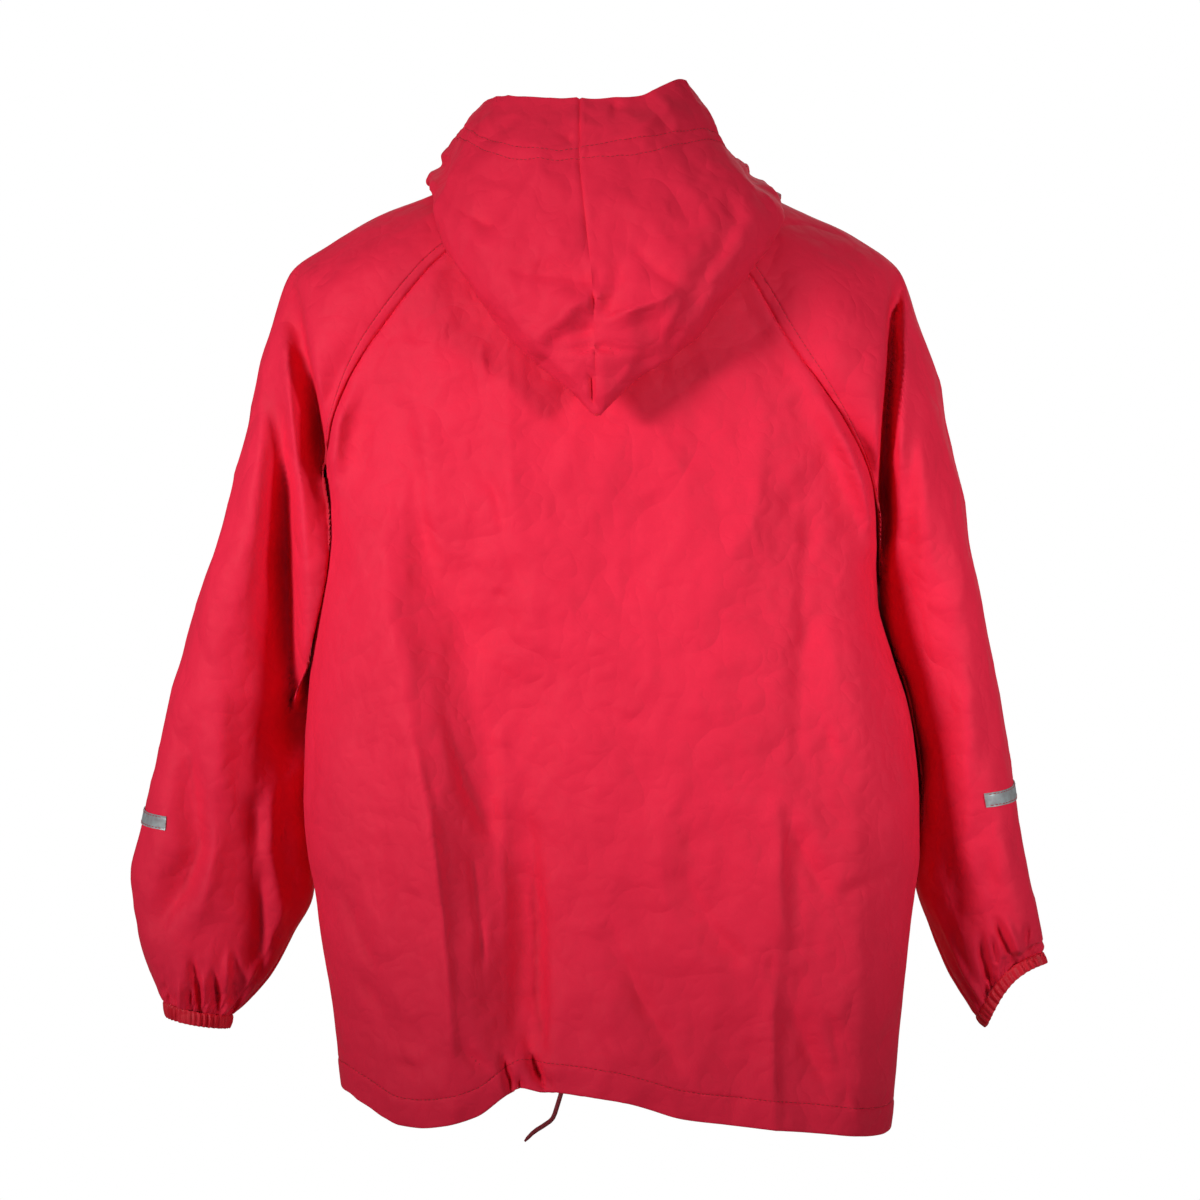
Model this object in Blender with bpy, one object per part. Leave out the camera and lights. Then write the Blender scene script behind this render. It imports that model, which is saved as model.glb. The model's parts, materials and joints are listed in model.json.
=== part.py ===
"""Kids rain jacket in its worn, hollow form: raglan sleeves, hood thrown back, gathered cuffs.

Metres, +Z up, +Y the wearer's front, +X the wearer's right. The tables are in millimetres.
"down" is the distance below the origin, which is where the shoulders carry the jacket.
"""

import math

import bmesh
import bpy
import numpy as np
from mathutils import Vector
from mathutils.bvhtree import BVHTree

MM = 0.001
WALL = 1.6  # coated fabric, drawn thicker than it is so that it is solid
HEM_WALL = 2.6  # the hem tunnel is the fabric turned up
HEM_TOP = 0.945  # the tunnel's top, as a share of the way from underarm to hem
SEAM_PULL = 0.2  # each panel stops this far short of its seam
SQUARENESS = 2.6  # 2 is an ellipse, and more is boxier
SLEEVE_CLEAR = 2.5  # between a sleeve and the body's side
HOOD_CLEAR = 4.5  # between the hood and what it lies on
HOOD_LIFT = 2.1  # its neck seam's height over the neckline

BACK_COLUMNS = 26
FRONT_COLUMNS = 8
SLEEVE_COLUMNS = 22
COLUMN_CROWDING = 0.044  # draws a sleeve's columns towards its outer edge
YOKE_LEVELS = (0, 0.8, 1.6, 2.4, 3.2, 3.6, 4.0, 4.6, 5.4, 6.3, 7.2, 8.1, 9.0, 10.0)
BODY_ROWS = 14
SLEEVE_ROWS = 11
UPPER_ARM_ROWS = 3  # of those, the ones above the cut between a sleeve's two lengths
HOOD_COLUMNS = 15
CUFF_RUFFLES = 36

# down, half-width to the left, to the right, depth to the back, to the front
TORSO = [
    (-40, 80, 80, 52, 40),
    (-20, 100, 100, 73, 58),
    (0, 120, 118, 87, 74),
    (27, 146, 146, 100, 90),
    (60, 168, 170, 109, 102),
    (115, 184, 186, 117, 112),
    (176, 190, 190, 120, 117),
    (227, 192, 192, 120, 119),
    (270, 197, 194, 119, 119),
    (305, 201, 203, 118, 118),
    (340, 204, 214, 116, 117),
    (366, 206, 219, 115, 117),
    (407, 207, 223, 113, 116),
    (445, 204, 223, 111, 115),
    (472, 199, 220, 109, 114),
    (503, 195, 216, 107, 113),
    (552, 187, 211, 104, 112),
    (596, 182, 207, 102, 111),
    (645, 176, 202, 100, 110),
]

# level, centre back down, centre front down: the yoke's rings from the neckline to the underarm
YOKE = [
    (0, -20, 22),
    (1, 4, 40),
    (2, 28, 60),
    (3, 52, 82),
    (4, 78, 106),
    (5, 102, 126),
    (6, 128, 148),
    (7, 156, 172),
    (8, 190, 198),
    (9, 222, 225),
    (10, 252, 252),
]

# level, back seam x, y, down, outermost x, y, down, y behind, y before, front seam y, how much
# lower it is, roundness. Levels past 10 are below the underarm, where both seams are one.
LEFT_SLEEVE = [
    (0, -60, -58, -25, -84, 0, -31, -34, 34, 54, 22, 0),
    (1, -84, -78, 2, -119, 0, -13, -47, 45, 70, 22, 0),
    (2, -106, -88, 27, -152, 0, 0, -57, 54, 82, 20, 0),
    (3, -127, -88, 46, -186, 2, 19, -62, 60, 86, 18, 0),
    (4, -148, -80, 76, -217, 5, 41, -64, 68, 86, 15, 0.1),
    (5, -161, -70, 98, -229, 8, 72, -64, 74, 81, 12, 0.2),
    (6, -173, -56, 122, -239, 9, 106, -62, 78, 74, 8, 0.35),
    (7, -184, -38, 150, -248, 10, 148, -58, 80, 62, 5, 0.5),
    (8, -189, -14, 190, -259, 11, 190, -54, 80, 44, 2, 0.7),
    (9, -191, 2, 225, -270, 12, 226, -51, 78, 28, 0, 0.9),
    (10, -192, 14, 252, -279, 13, 252, -48, 76, 14, 0, 1),
    (11, -197, 38, 308, -296, 26, 308, -32, 92, 38, 0, 1),
    (12, -199, 50, 364, -311, 30, 364, -24, 96, 50, 0, 1),
    (13, -200, 52, 420, -323, 32, 420, -14, 92, 52, 0, 1),
    (14, -203, 48, 476, -333, 34, 470, -6, 84, 48, 0, 1),
    (15, -217, 42, 506, -330, 36, 502, -1, 76, 42, 0, 1),
    (16, -234, 38, 536, -321, 36, 530, 4, 68, 38, 0, 1),
    (17, -252, 36, 556, -312, 36, 546, 10, 61, 36, 0, 1),
    (18, -260, 36, 563, -309, 36, 553, 12, 59, 36, 0, 1),
]
RIGHT_SLEEVE = [
    (0, 60, -58, -25, 84, 0, -31, -34, 34, 54, 22, 0),
    (1, 78, -76, 0, 117, 0, -13, -48, 46, 70, 22, 0),
    (2, 93, -90, 26, 146, 0, 1, -60, 56, 84, 20, 0),
    (3, 106, -97, 48, 180, 2, 17, -66, 64, 92, 18, 0),
    (4, 121, -97, 76, 210, 5, 40, -70, 72, 93, 15, 0.1),
    (5, 134, -93, 100, 222, 8, 71, -72, 78, 90, 12, 0.2),
    (6, 148, -84, 122, 236, 9, 106, -71, 82, 82, 8, 0.35),
    (7, 167, -66, 153, 247, 10, 152, -68, 85, 68, 5, 0.5),
    (8, 185, -32, 192, 255, 11, 193, -63, 86, 46, 2, 0.7),
    (9, 192, -6, 223, 260, 12, 227, -59, 86, 28, 0, 0.9),
    (10, 194, 12, 252, 266, 13, 252, -56, 84, 12, 0, 1),
    (11, 195, 38, 308, 277, 24, 308, -46, 92, 38, 0, 1),
    (12, 208, 50, 364, 287, 28, 364, -38, 98, 50, 0, 1),
    (13, 215, 52, 420, 297, 30, 420, -28, 98, 52, 0, 1),
    (14, 224, 46, 474, 308, 32, 470, -18, 94, 46, 0, 1),
    (15, 236, 42, 506, 313, 34, 494, -10, 86, 42, 0, 1),
    (16, 249, 38, 536, 315, 35, 509, -2, 77, 38, 0, 1),
    (17, 261, 36, 556, 314, 36, 512, 8, 67, 36, 0, 1),
    (18, 266, 36, 564, 313, 36, 518, 12, 62, 36, 0, 1),
]
CUFF_END = (  # the cuff's open edge: inner x, y, down, outer x, y, down, back y, front y
    (-263, 36, 572, -307, 36, 563, 13, 58),
    (273, 36, 571, 316, 36, 526, 13, 61),
)

# The hood's lines, each a point at 13 places along the neckline from one end over the back
# to the other: x, y, down
NECK_ANGLE = (98, 122, 152, 194, 226, 248, 270, 292, 314, 346, 388, 418, 442)
FOLD_LINE = [
    (-16, 104, 30),
    (-62, 96, 12),
    (-108, 44, -17),
    (-114, -42, -12),
    (-103, -104, 32),
    (-55, -138, 105),
    (-2, -150, 150),
    (57, -140, 104),
    (110, -106, 36),
    (123, -56, 3),
    (108, 40, -17),
    (64, 96, 12),
    (16, 104, 30),
]
MIDDLE_LINE = [
    (-17, 106, 18),
    (-62, 94, -4),
    (-108, 40, -30),
    (-110, -46, -30),
    (-102, -122, 3),
    (-57, -162, 50),
    (-5, -172, 64),
    (51, -166, 48),
    (100, -128, 5),
    (107, -62, -22),
    (102, 34, -20),
    (64, 94, -4),
    (17, 106, 18),
]
STITCH_LINE = [
    (-17, 103, 6),
    (-58, 86, -20),
    (-102, 30, -48),
    (-101, -44, -48),
    (-91, -96, -40),
    (-52, -134, -29),
    (-14, -142, -27),
    (33, -136, -32),
    (75, -104, -43),
    (89, -54, -44),
    (92, 26, -36),
    (60, 86, -20),
    (17, 103, 6),
]
FACE_LINE = [
    (-18, 98, -6),
    (-54, 78, -36),
    (-84, 24, -70),
    (-83, -30, -72),
    (-74, -72, -77),
    (-43, -98, -74),
    (-14, -106, -72),
    (27, -104, -74),
    (58, -84, -88),
    (69, -46, -66),
    (80, 22, -50),
    (54, 78, -36),
    (18, 98, -6),
]

# The largest folds of the hood's outer side: x, down of one end, of the other, half-width, height
HOOD_FOLDS = [
    (-46, 40, -7, 53, 13, -5.0),
    (-102, 7, -62, 20, 12, -4.0),
    (-16, 100, 27, 106, 12, -5.0),
    (27, 31, 60, 63, 13, -4.5),
    (98, 0, 72, 66, 11, 4.0),
    (84, 4, 60, 62, 10, -4.0),
]

# The largest folds of the back panel: x, down of one end, of the other, half-width, height
BACK_FOLDS = [
    (-136, 270, -106, 600, 17, 5.0),
    (-92, 330, -84, 620, 15, -6.5),
    (-60, 420, -46, 612, 12, -5.5),
    (-112, 262, -84, 380, 16, -4.0),
    (4, 488, 36, 640, 14, -4.0),
    (134, 170, 134, 372, 13, -3.0),
    (66, 472, 100, 630, 16, -4.0),
    (127, 420, 158, 480, 13, -3.0),
    (130, 545, 176, 640, 14, -4.0),
    (20, 250, 26, 470, 40, 3.0),
]
# x and down of the hem from side to side, on the back
HEM_LINE = [
    (-199, 606),
    (-178, 610),
    (-164, 617),
    (-150, 624),
    (-139, 629),
    (-124, 630),
    (-108, 628),
    (-84, 621),
    (-64, 607),
    (-54, 602),
    (-41, 604),
    (-27, 605),
    (14, 611),
    (61, 624),
    (102, 629),
    (150, 634),
    (195, 639),
    (209, 636),
]
FRONT_HEM = 617.0

# x, down of one end, of the other, half-width, depth: the deep valleys of the sleeves' backs
SLEEVE_VALLEYS = {
    "left": [(-217, 60, -201, 240, 13, 16.0), (-232, 235, -244, 340, 13, 6.0)],
    "right": [(205, 48, 203, 290, 12, 16.0)],
}
# How far the middle of the cuff's ring is bent in x and down, and in y
CUFF_BEND = {"left": (0, 1), "right": (-8, -6)}

# The drawstring's free end, from where it leaves the hem: x, y, down
DRAWSTRING = [
    (-24, -91, 594),
    (-26, -92, 603),
    (-29, -95, 613),
    (-32, -98, 621),
    (-37, -101, 625),
    (-45, -103, 630),
    (-51, -105, 636),
]
DRAWSTRING_WIDTH = 3.6

FLAP_HALF = 24.0
FLAP_WALL = 1.5
FLAP_LIFT = 0.6
STUD_X = -11.0
STUD_GAP = 0.7  # between a stud's cap and the flap, for the stud's post
STUD_DOWNS = (52, 165, 285, 405, 525)
STUD_RADIUS = 6.5
STUD_HEIGHT = 2.4
STUD_SIDES = 12
# sleeve levels of its upper and lower edge, first and last share of the way round, and its slope
STRIPS = {"left": (12.93, 13.11, 0.378, 0.78, 0.7), "right": (12.57, 12.75, 0.315, 0.74, 0.7)}
STRIP_WALL = 0.9
STRIP_LIFT = 0.6

RED = (0.62, 0.02, 0.045, 1)
GREY = (0.42, 0.45, 0.46, 1)
DARK_RED = (0.24, 0.01, 0.02, 1)


def table(rows, at):
    """The rows' columns at these values of the first one, smooth and with no overshoot."""
    rows = np.array(rows, float)
    x, y = rows[:, 0], rows[:, 1:]
    step = np.diff(x)[:, None]
    slope = np.diff(y, axis=0) / step
    tangent = np.zeros_like(y)
    product = slope[:-1] * slope[1:]
    total = slope[:-1] + slope[1:]
    total[total == 0] = 1
    tangent[1:-1] = np.where(product > 0, 2 * product / total, 0)
    tangent[0] = slope[0]
    tangent[-1] = slope[-1]
    at = np.clip(np.atleast_1d(np.asarray(at, float)), x[0], x[-1])
    i = np.clip(np.searchsorted(x, at, side="right") - 1, 0, len(step) - 1)
    h = step[i]
    t = ((at - x[i]) / h[:, 0])[:, None]
    return (
        (2 * t**3 - 3 * t**2 + 1) * y[i]
        + (t**3 - 2 * t**2 + t) * h * tangent[i]
        + (3 * t**2 - 2 * t**3) * y[i + 1]
        + (t**3 - t**2) * h * tangent[i + 1]
    )


def evenly(points, shares):
    """Points at these shares of a line's length."""
    gone = np.concatenate([[0], np.cumsum(np.linalg.norm(np.diff(points, axis=0), axis=1))])
    where = np.asarray(shares) * gone[-1]
    return np.stack([np.interp(where, gone, points[:, k]) for k in range(3)], axis=1)


def spread(low, high, value):
    """0 below low, 1 above high and smooth between."""
    t = np.clip((value - low) / (high - low), 0, 1)
    return t * t * (3 - 2 * t)


def across(x, down, fold):
    """How strongly a fold acts at a point, 1 on its line."""
    x0, d0, x1, d1, width = fold[:5]
    along = np.array([x1 - x0, d1 - d0], float)
    length = np.hypot(*along)
    along /= length
    s = (x - x0) * along[0] + (down - d0) * along[1]
    off = (x - x0) * along[1] - (down - d0) * along[0]
    ends = spread(-12, 30, s) * spread(-12, 30, length - s)
    return np.exp(-((off / width) ** 2)) * ends


def torso(angle, down):
    """How far out the body's surface is at this angle, counted from +X towards +Y."""
    left, right, back, front = table(TORSO, down).T
    c, s = np.cos(angle), np.sin(angle)
    wide = np.where(c < 0, left, right)
    deep = np.where(s < 0, back, front)
    r = (np.abs(c / wide) ** SQUARENESS + np.abs(s / deep) ** SQUARENESS) ** (-1 / SQUARENESS)
    x = r * c
    behind = spread(0.15, 0.55, -s)
    for fold in BACK_FOLDS:
        r = r + fold[5] * across(x, down, fold) * behind
    return r


def on_torso(angle, down):
    """Points of the body's surface."""
    r = torso(angle, down)
    return np.stack([r * np.cos(angle), r * np.sin(angle), down + 0 * r], axis=1)


def hem_down(x, y):
    """How far down the hem is, level in front and waved behind."""
    behind = table(HEM_LINE, np.clip(x, -200, 210))[:, 0]
    return np.where(y < 0, behind, FRONT_HEM + (behind - FRONT_HEM) * np.exp(-y / 12))


def seam_point(x, y, down):
    """A point put on the body's surface."""
    return on_torso(np.array([math.atan2(y, x)]), np.array([float(down)]))[0]


def sleeve_row(side, level):
    """The sleeve's table at this level."""
    return table(LEFT_SLEEVE if side == "left" else RIGHT_SLEEVE, level)[0]


def raglan(side, level):
    """The two seam points of the sleeve at this level, back then front."""
    row = sleeve_row(side, level)
    return seam_point(row[0], row[1], row[2]), seam_point(row[0], row[8], row[2] + row[9])


def back_row(level):
    """From the left sleeve's back seam round the back to the right one's."""
    left, right = raglan("left", level)[0], raglan("right", level)[0]
    first = math.atan2(left[1], left[0]) % (2 * math.pi)
    last = math.atan2(right[1], right[0]) % (2 * math.pi)
    if last < math.pi:
        last += 2 * math.pi
    fine = np.linspace(0, 1, 80)
    down = left[2] + (right[2] - left[2]) * fine
    down += (table(YOKE, level)[0, 0] - (left[2] + right[2]) / 2) * np.sin(np.pi * fine)
    line = on_torso(first + (last - first) * fine, down)
    line[0], line[-1] = left, right
    return evenly(line, np.linspace(0, 1, BACK_COLUMNS + 1))


def front_row(side, level):
    """From the sleeve's front seam to the centre front."""
    seam = raglan(side, level)[1]
    down = table(YOKE, level)[0, 1]
    centre = on_torso(np.array([math.pi / 2]), np.array([down]))[0]
    centre[0] = 0
    a = math.atan2(seam[1], seam[0])
    fine = np.linspace(0, 1, 60)
    down = seam[2] + (down - seam[2]) * np.sin(np.pi / 2 * fine)
    line = on_torso(a + (math.pi / 2 - a) * fine, down)
    line[0], line[-1] = seam, centre
    return evenly(line, np.linspace(0, 1, FRONT_COLUMNS + 1))


def lowered(row, share):
    """The underarm ring's row carried down towards the hem."""
    angle = np.arctan2(row[:, 1], row[:, 0])
    down = row[:, 2]
    for _ in range(4):
        r = torso(angle, down)
        low = hem_down(r * np.cos(angle), r * np.sin(angle))
        down = row[:, 2] + (low - row[:, 2]) * share
    points = on_torso(angle, down)
    points[np.abs(row[:, 0]) < 1e-6, 0] = 0
    return points


def panel(top_rows):
    """The panel's whole grid, neckline to hem, with a row at the top of the hem tunnel."""
    shares = list(np.linspace(0, HEM_TOP, BODY_ROWS)[1:]) + [1.0]
    return np.array(list(top_rows) + [lowered(top_rows[-1], s) for s in shares])


def bent(side, level):
    """How far the sleeve's middle lines are bent towards the cuff, in x and down."""
    share = float(spread(15, 18, level))
    return CUFF_BEND[side][0] * share, CUFF_BEND[side][1] * share


def sleeve_ring(side, level, columns):
    """A line round the sleeve from its back seam over its outer side to its front seam."""
    row = sleeve_row(side, level)
    back, front = raglan(side, level) if level <= 10 else (row[:3].copy(), row[:3].copy())
    outer = row[3:6]
    behind = back * 0.42 + outer * 0.58
    before = front * 0.42 + outer * 0.58
    behind[1], before[1] = row[6], row[7]
    bend = np.array(bent(side, level))
    behind[[0, 2]] += bend
    before[[0, 2]] += bend
    roundness = row[10]
    reach = 0.52 + 0.28 * roundness
    knots = [back, behind, outer, before, front]
    tangents = [None, (outer - back) * reach, (before - behind) * reach, (front - outer) * reach, None]
    free_start = 1.5 * (behind - back) - 0.5 * tangents[1]
    free_end = 1.5 * (front - before) - 0.5 * tangents[3]
    wrap = (behind - before) * reach
    tangents[0] = free_start * (1 - roundness) + wrap * roundness
    tangents[4] = free_end * (1 - roundness) + wrap * roundness
    t = np.linspace(0, 1, 24)[:, None]
    parts = []
    for a, b, u, v in zip(knots[:-1], knots[1:], tangents[:-1], tangents[1:]):
        parts.append(
            (2 * t**3 - 3 * t**2 + 1) * a
            + (t**3 - 2 * t**2 + t) * u
            + (3 * t**2 - 2 * t**3) * b
            + (t**3 - t**2) * v
        )
    line = np.concatenate([p[:-1] for p in parts] + [parts[-1][-1:]])
    shares = np.linspace(0, 1, columns + 1)
    shares = shares + COLUMN_CROWDING * np.sin(2 * np.pi * shares)
    ring = evenly(line, shares)
    ring = cleared(ring, side, level)
    fade = np.sin(np.pi * np.clip(shares * 1.9, 0, 1)) ** 0.5
    for fold in SLEEVE_VALLEYS[side]:
        pull = fold[5] * across(ring[:, 0], ring[:, 2], fold) * fade
        ring[:, 1] += np.where(shares < 0.5, pull, 0)
    return ring


def cleared(ring, side, level):
    """The ring kept out of the body's side by the clearance."""
    if level <= 7:
        return ring
    angle = np.arctan2(ring[:, 1], ring[:, 0])
    reach = np.hypot(ring[:, 0], ring[:, 1])
    room = np.full(len(ring), SLEEVE_CLEAR)
    for seam in raglan(side, min(level, 10)):
        room = np.minimum(room, 0.3 * np.linalg.norm(ring - seam, axis=1))
    least = torso(angle, ring[:, 2]) + room
    grow = np.maximum(reach, least) / reach
    ring[:, 0] *= grow
    ring[:, 1] *= grow
    return ring


class Surface:
    """Faces over shared points, in millimetres with z up."""

    def __init__(self):
        self.points = []
        self.faces = []
        self.walls = []
        self.known = {}

    def point(self, p, wall):
        key = tuple(np.round(p, 3))
        if key not in self.known:
            self.known[key] = len(self.points)
            self.points.append(np.array(p, float))
            self.walls.append(wall)
        return self.known[key]

    def row(self, points, wall=WALL):
        flipped = np.array(points, float)
        flipped[:, 2] *= -1
        return [self.point(p, wall) for p in flipped]

    def face(self, *ids):
        kept = [a for a, b in zip(ids, ids[1:] + ids[:1]) if a != b]
        if len(kept) >= 3:
            self.faces.append(tuple(kept))

    def strip(self, upper, lower):
        """Faces between two rows, of which the lower may have twice the columns."""
        if len(upper) == len(lower):
            for i in range(len(upper) - 1):
                self.face(upper[i], lower[i], lower[i + 1])
                self.face(upper[i], lower[i + 1], upper[i + 1])
            return
        for i in range(len(upper) - 1):
            a, b, c = lower[2 * i : 2 * i + 3]
            self.face(upper[i], a, b)
            self.face(upper[i], b, upper[i + 1])
            self.face(upper[i + 1], b, c)

    def grid(self, rows, walls=None):
        ids = [self.row(r, WALL if walls is None else walls[i]) for i, r in enumerate(rows)]
        for upper, lower in zip(ids[:-1], ids[1:]):
            self.strip(upper, lower)
        return ids


def face_normals(points, faces):
    """The faces' normals, as long as twice their areas."""
    a, b, c = (points[faces[:, k]] for k in range(3))
    return np.cross(b - a, c - a)


def common_normals(surfaces):
    """One normal at each point that surfaces share, so that their walls meet."""
    total = {}
    for s in surfaces:
        points, faces = np.array(s.points), np.array(s.faces)
        normals = face_normals(points, faces)
        for f, n in zip(faces, normals):
            for i in f:
                key = tuple(np.round(points[i], 2))
                total[key] = total.get(key, np.zeros(3)) + n
    found = []
    for s in surfaces:
        n = np.array([total[tuple(np.round(p, 2))] for p in s.points])
        found.append(n / np.linalg.norm(n, axis=1)[:, None])
    return found


def rim_edges(faces):
    """The edges with a face on one side only, in that face's direction."""
    ends = set()
    for f in faces:
        for a, b in zip(f, f[1:] + f[:1]):
            ends.add((a, b))
    return [(a, b) for a, b in ends if (b, a) not in ends]


def thick(name, surface, normals, colour, lift=0.0):
    """A closed solid: the surface, its inner side a wall below and its rims."""
    points = np.array(surface.points)
    walls = np.array(surface.walls)[:, None]
    rim = sorted(rim_edges(surface.faces))
    pulls = {}
    for a, b in rim:
        along = points[b] - points[a]
        along /= np.linalg.norm(along)
        inward = np.cross(normals[a] + normals[b], along)
        inward /= np.linalg.norm(inward)
        pulls.setdefault(a, []).append(inward)
        pulls.setdefault(b, []).append(inward)
    moved = points + normals * lift
    for i, found in pulls.items():
        both = np.sum(found, axis=0)
        size = np.linalg.norm(both)
        if size > 0.2:
            moved[i] += both / size * SEAM_PULL * min(len(found) / size, 2.5)
    inner = moved - normals * walls
    count = len(points)
    faces = [tuple(f) for f in surface.faces]
    faces += [tuple(i + count for i in reversed(f)) for f in surface.faces]
    for a, b in rim:
        faces.append((b, a, a + count))
        faces.append((b, a + count, b + count))
    return add_mesh(name, np.concatenate([moved, inner]), faces, colour)


def material(name, colour):
    made = bpy.data.materials.new(name + "_material")
    made.use_nodes = True
    shader = made.node_tree.nodes["Principled BSDF"]
    shader.inputs["Base Color"].default_value = colour
    shader.inputs["Roughness"].default_value = 0.55
    return made


def add_mesh(name, points, faces, colour):
    mesh = bpy.data.meshes.new(name)
    mesh.from_pydata([tuple(p * MM) for p in points], [], faces)
    mesh.validate()
    mesh.materials.append(material(name, colour))
    made = bpy.data.objects.new(name, mesh)
    bpy.context.scene.collection.objects.link(made)
    return made


def sleeve_surfaces(side):
    """The sleeve in two lengths, from the neckline and from the upper arm, gathered at the cuff."""
    upper = [sleeve_ring(side, v, SLEEVE_COLUMNS) for v in YOKE_LEVELS]
    lower = [sleeve_ring(side, v, SLEEVE_COLUMNS) for v in np.linspace(10, 16, SLEEVE_ROWS + 1)[1:]]
    gathers = []
    for v, size in ((16.5, 0.5), (17.2, 1.1), (18.0, 1.3)):
        ring = sleeve_ring(side, v, 2 * SLEEVE_COLUMNS)
        middle = ring[:-1].mean(axis=0)
        outward = ring - middle
        outward /= np.linalg.norm(outward, axis=1)[:, None]
        wave = np.where(np.arange(len(ring)) % 2, -1, 1)[:, None]
        gathers.append(ring + outward * wave * size)
    rows = upper + lower + gathers
    if side == "right":
        rows = [r[::-1] for r in rows]
    cut = len(upper) + UPPER_ARM_ROWS - 1
    lengths = []
    for part in (rows[: cut + 1], rows[cut:]):
        surface = Surface()
        surface.grid(part)
        surface.faces = [tuple(reversed(f)) for f in surface.faces]
        lengths.append(surface)
    return lengths


def cuff_surface(side):
    """The elastic casing, ruffled all round."""
    surface = Surface()
    row = sleeve_row(side, 18)
    end = np.array(CUFF_END[side == "right"], float)
    start = np.concatenate([row[:6], row[6:8]])
    columns = 2 * CUFF_RUFFLES
    turn = np.linspace(0, 2 * np.pi, columns + 1)
    turn[-1] = 0
    rows = []
    for share, size in ((0.11, 0.9), (0.5, 1.2), (1.0, 0.9)):
        r = start + (end - start) * share
        inner, outer = r[:3], r[3:6]
        middle = (inner + outer) / 2
        across_half = (outer - inner) / 2
        depth = (r[7] - r[6]) / 2
        middle[1] = (r[6] + r[7]) / 2
        bulge = 1 + 0.05 * np.sin(np.pi * share)
        c, s = np.cos(turn)[:, None], np.sin(turn)[:, None]
        line = middle - across_half * c * bulge + np.array([0, 1, 0]) * -s * depth * bulge
        outward = line - middle
        outward /= np.linalg.norm(outward, axis=1)[:, None]
        wave = np.where(np.arange(columns + 1) % 2, -1, 1)[:, None]
        line[:, [0, 2]] += np.array(CUFF_BEND[side]) * s**2
        rows.append(line + outward * wave * size)
    if side == "right":
        rows = [r[::-1] for r in rows]
    surface.grid(rows, [1.3] * len(rows))
    return surface


def smooth_line(points, shares):
    """A smooth line through the points, at these shares of the way."""
    rows = np.array([(i, *p) for i, p in enumerate(points)], float)
    x = rows[:, 0]
    at = np.asarray(shares) * (len(x) - 1)
    i = np.clip(at.astype(int), 0, len(x) - 2)
    t = (at - i)[:, None]
    y = rows[:, 1:]
    before, after = y[np.maximum(i - 1, 0)], y[np.minimum(i + 2, len(x) - 1)]
    u, v = (y[i + 1] - before) / 2, (after - y[i]) / 2
    return (
        (2 * t**3 - 3 * t**2 + 1) * y[i]
        + (t**3 - 2 * t**2 + t) * u
        + (3 * t**2 - 2 * t**3) * y[i + 1]
        + (t**3 - t**2) * v
    )


def tree_of(surfaces):
    """The surfaces as one tree to find nearest points on."""
    points, faces = [], []
    for s in surfaces:
        faces += [tuple(i + len(points) for i in f) for f in s.faces]
        points += [tuple(p) for p in s.points]
    return BVHTree.FromPolygons(points, faces)


def pushed_out(points, tree, clear):
    """Points, z up, kept this far outside the surfaces of the tree."""
    for i, p in enumerate(points):
        where, normal, _, _ = tree.find_nearest(Vector(p))
        gap = (Vector(p) - where).dot(normal)
        if gap < clear:
            points[i] = np.array(where + normal * clear)
    return points


def hood_rows(neckline, tree, shares):
    """The hood's grid: from the neck seam over the roll, down to the fold and up to the face edge."""
    angles = np.interp(shares * 12, np.arange(13), np.radians(NECK_ANGLE))
    ring_angle = np.unwrap(np.arctan2(neckline[:, 1], neckline[:, 0]))
    order = np.argsort(ring_angle)
    ring_angle, ring = ring_angle[order], neckline[order]
    wrapped = (angles - ring_angle[0]) % (2 * np.pi) + ring_angle[0]
    closed_angle = np.append(ring_angle, ring_angle[0] + 2 * np.pi)
    closed = np.vstack([ring, ring[:1]])
    seam = np.stack([np.interp(wrapped, closed_angle, closed[:, k]) for k in range(3)], axis=1)
    outward = seam * (1, 1, 0)
    outward /= np.linalg.norm(outward, axis=1)[:, None]
    fold = smooth_line(FOLD_LINE, shares)
    middle = smooth_line(MIDDLE_LINE, shares)
    stitch = smooth_line(STITCH_LINE, shares)
    face = smooth_line(FACE_LINE, shares)
    seam = seam + (0, 0, -HOOD_LIFT)
    roll = seam + outward * 4 + (0, 0, -6)
    over = seam + outward * 12 + (0, 0, -3)
    rows = [seam, roll, over]
    for share in (0.25, 0.5, 0.75, 0.92):
        rows.append(over + (fold - over) * share)
    tip = fold + outward * 5
    rows += [fold]
    for share in (0.12, 0.35, 0.68):
        line = tip + (middle - tip) * share
        rows.append(line + outward * 6 * math.sin(math.pi * share))
    rows += [middle]
    rows.append(middle + (stitch - middle) * 0.5 + outward * 3)
    rows += [stitch, stitch + (face - stitch) * 0.5 + outward * 2, face]
    result = []
    for i, row in enumerate(rows):
        if i > 7:
            for line in HOOD_FOLDS:
                height = line[5] * spread(40, 90, -row[:, 1])
                row[:, 1] -= height * across(row[:, 0], row[:, 2], line)
        points = row * (1, 1, -1)
        if i >= 2:
            points = pushed_out(points, tree, HOOD_CLEAR)
        result.append(points * (1, 1, -1))
    return result


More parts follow.
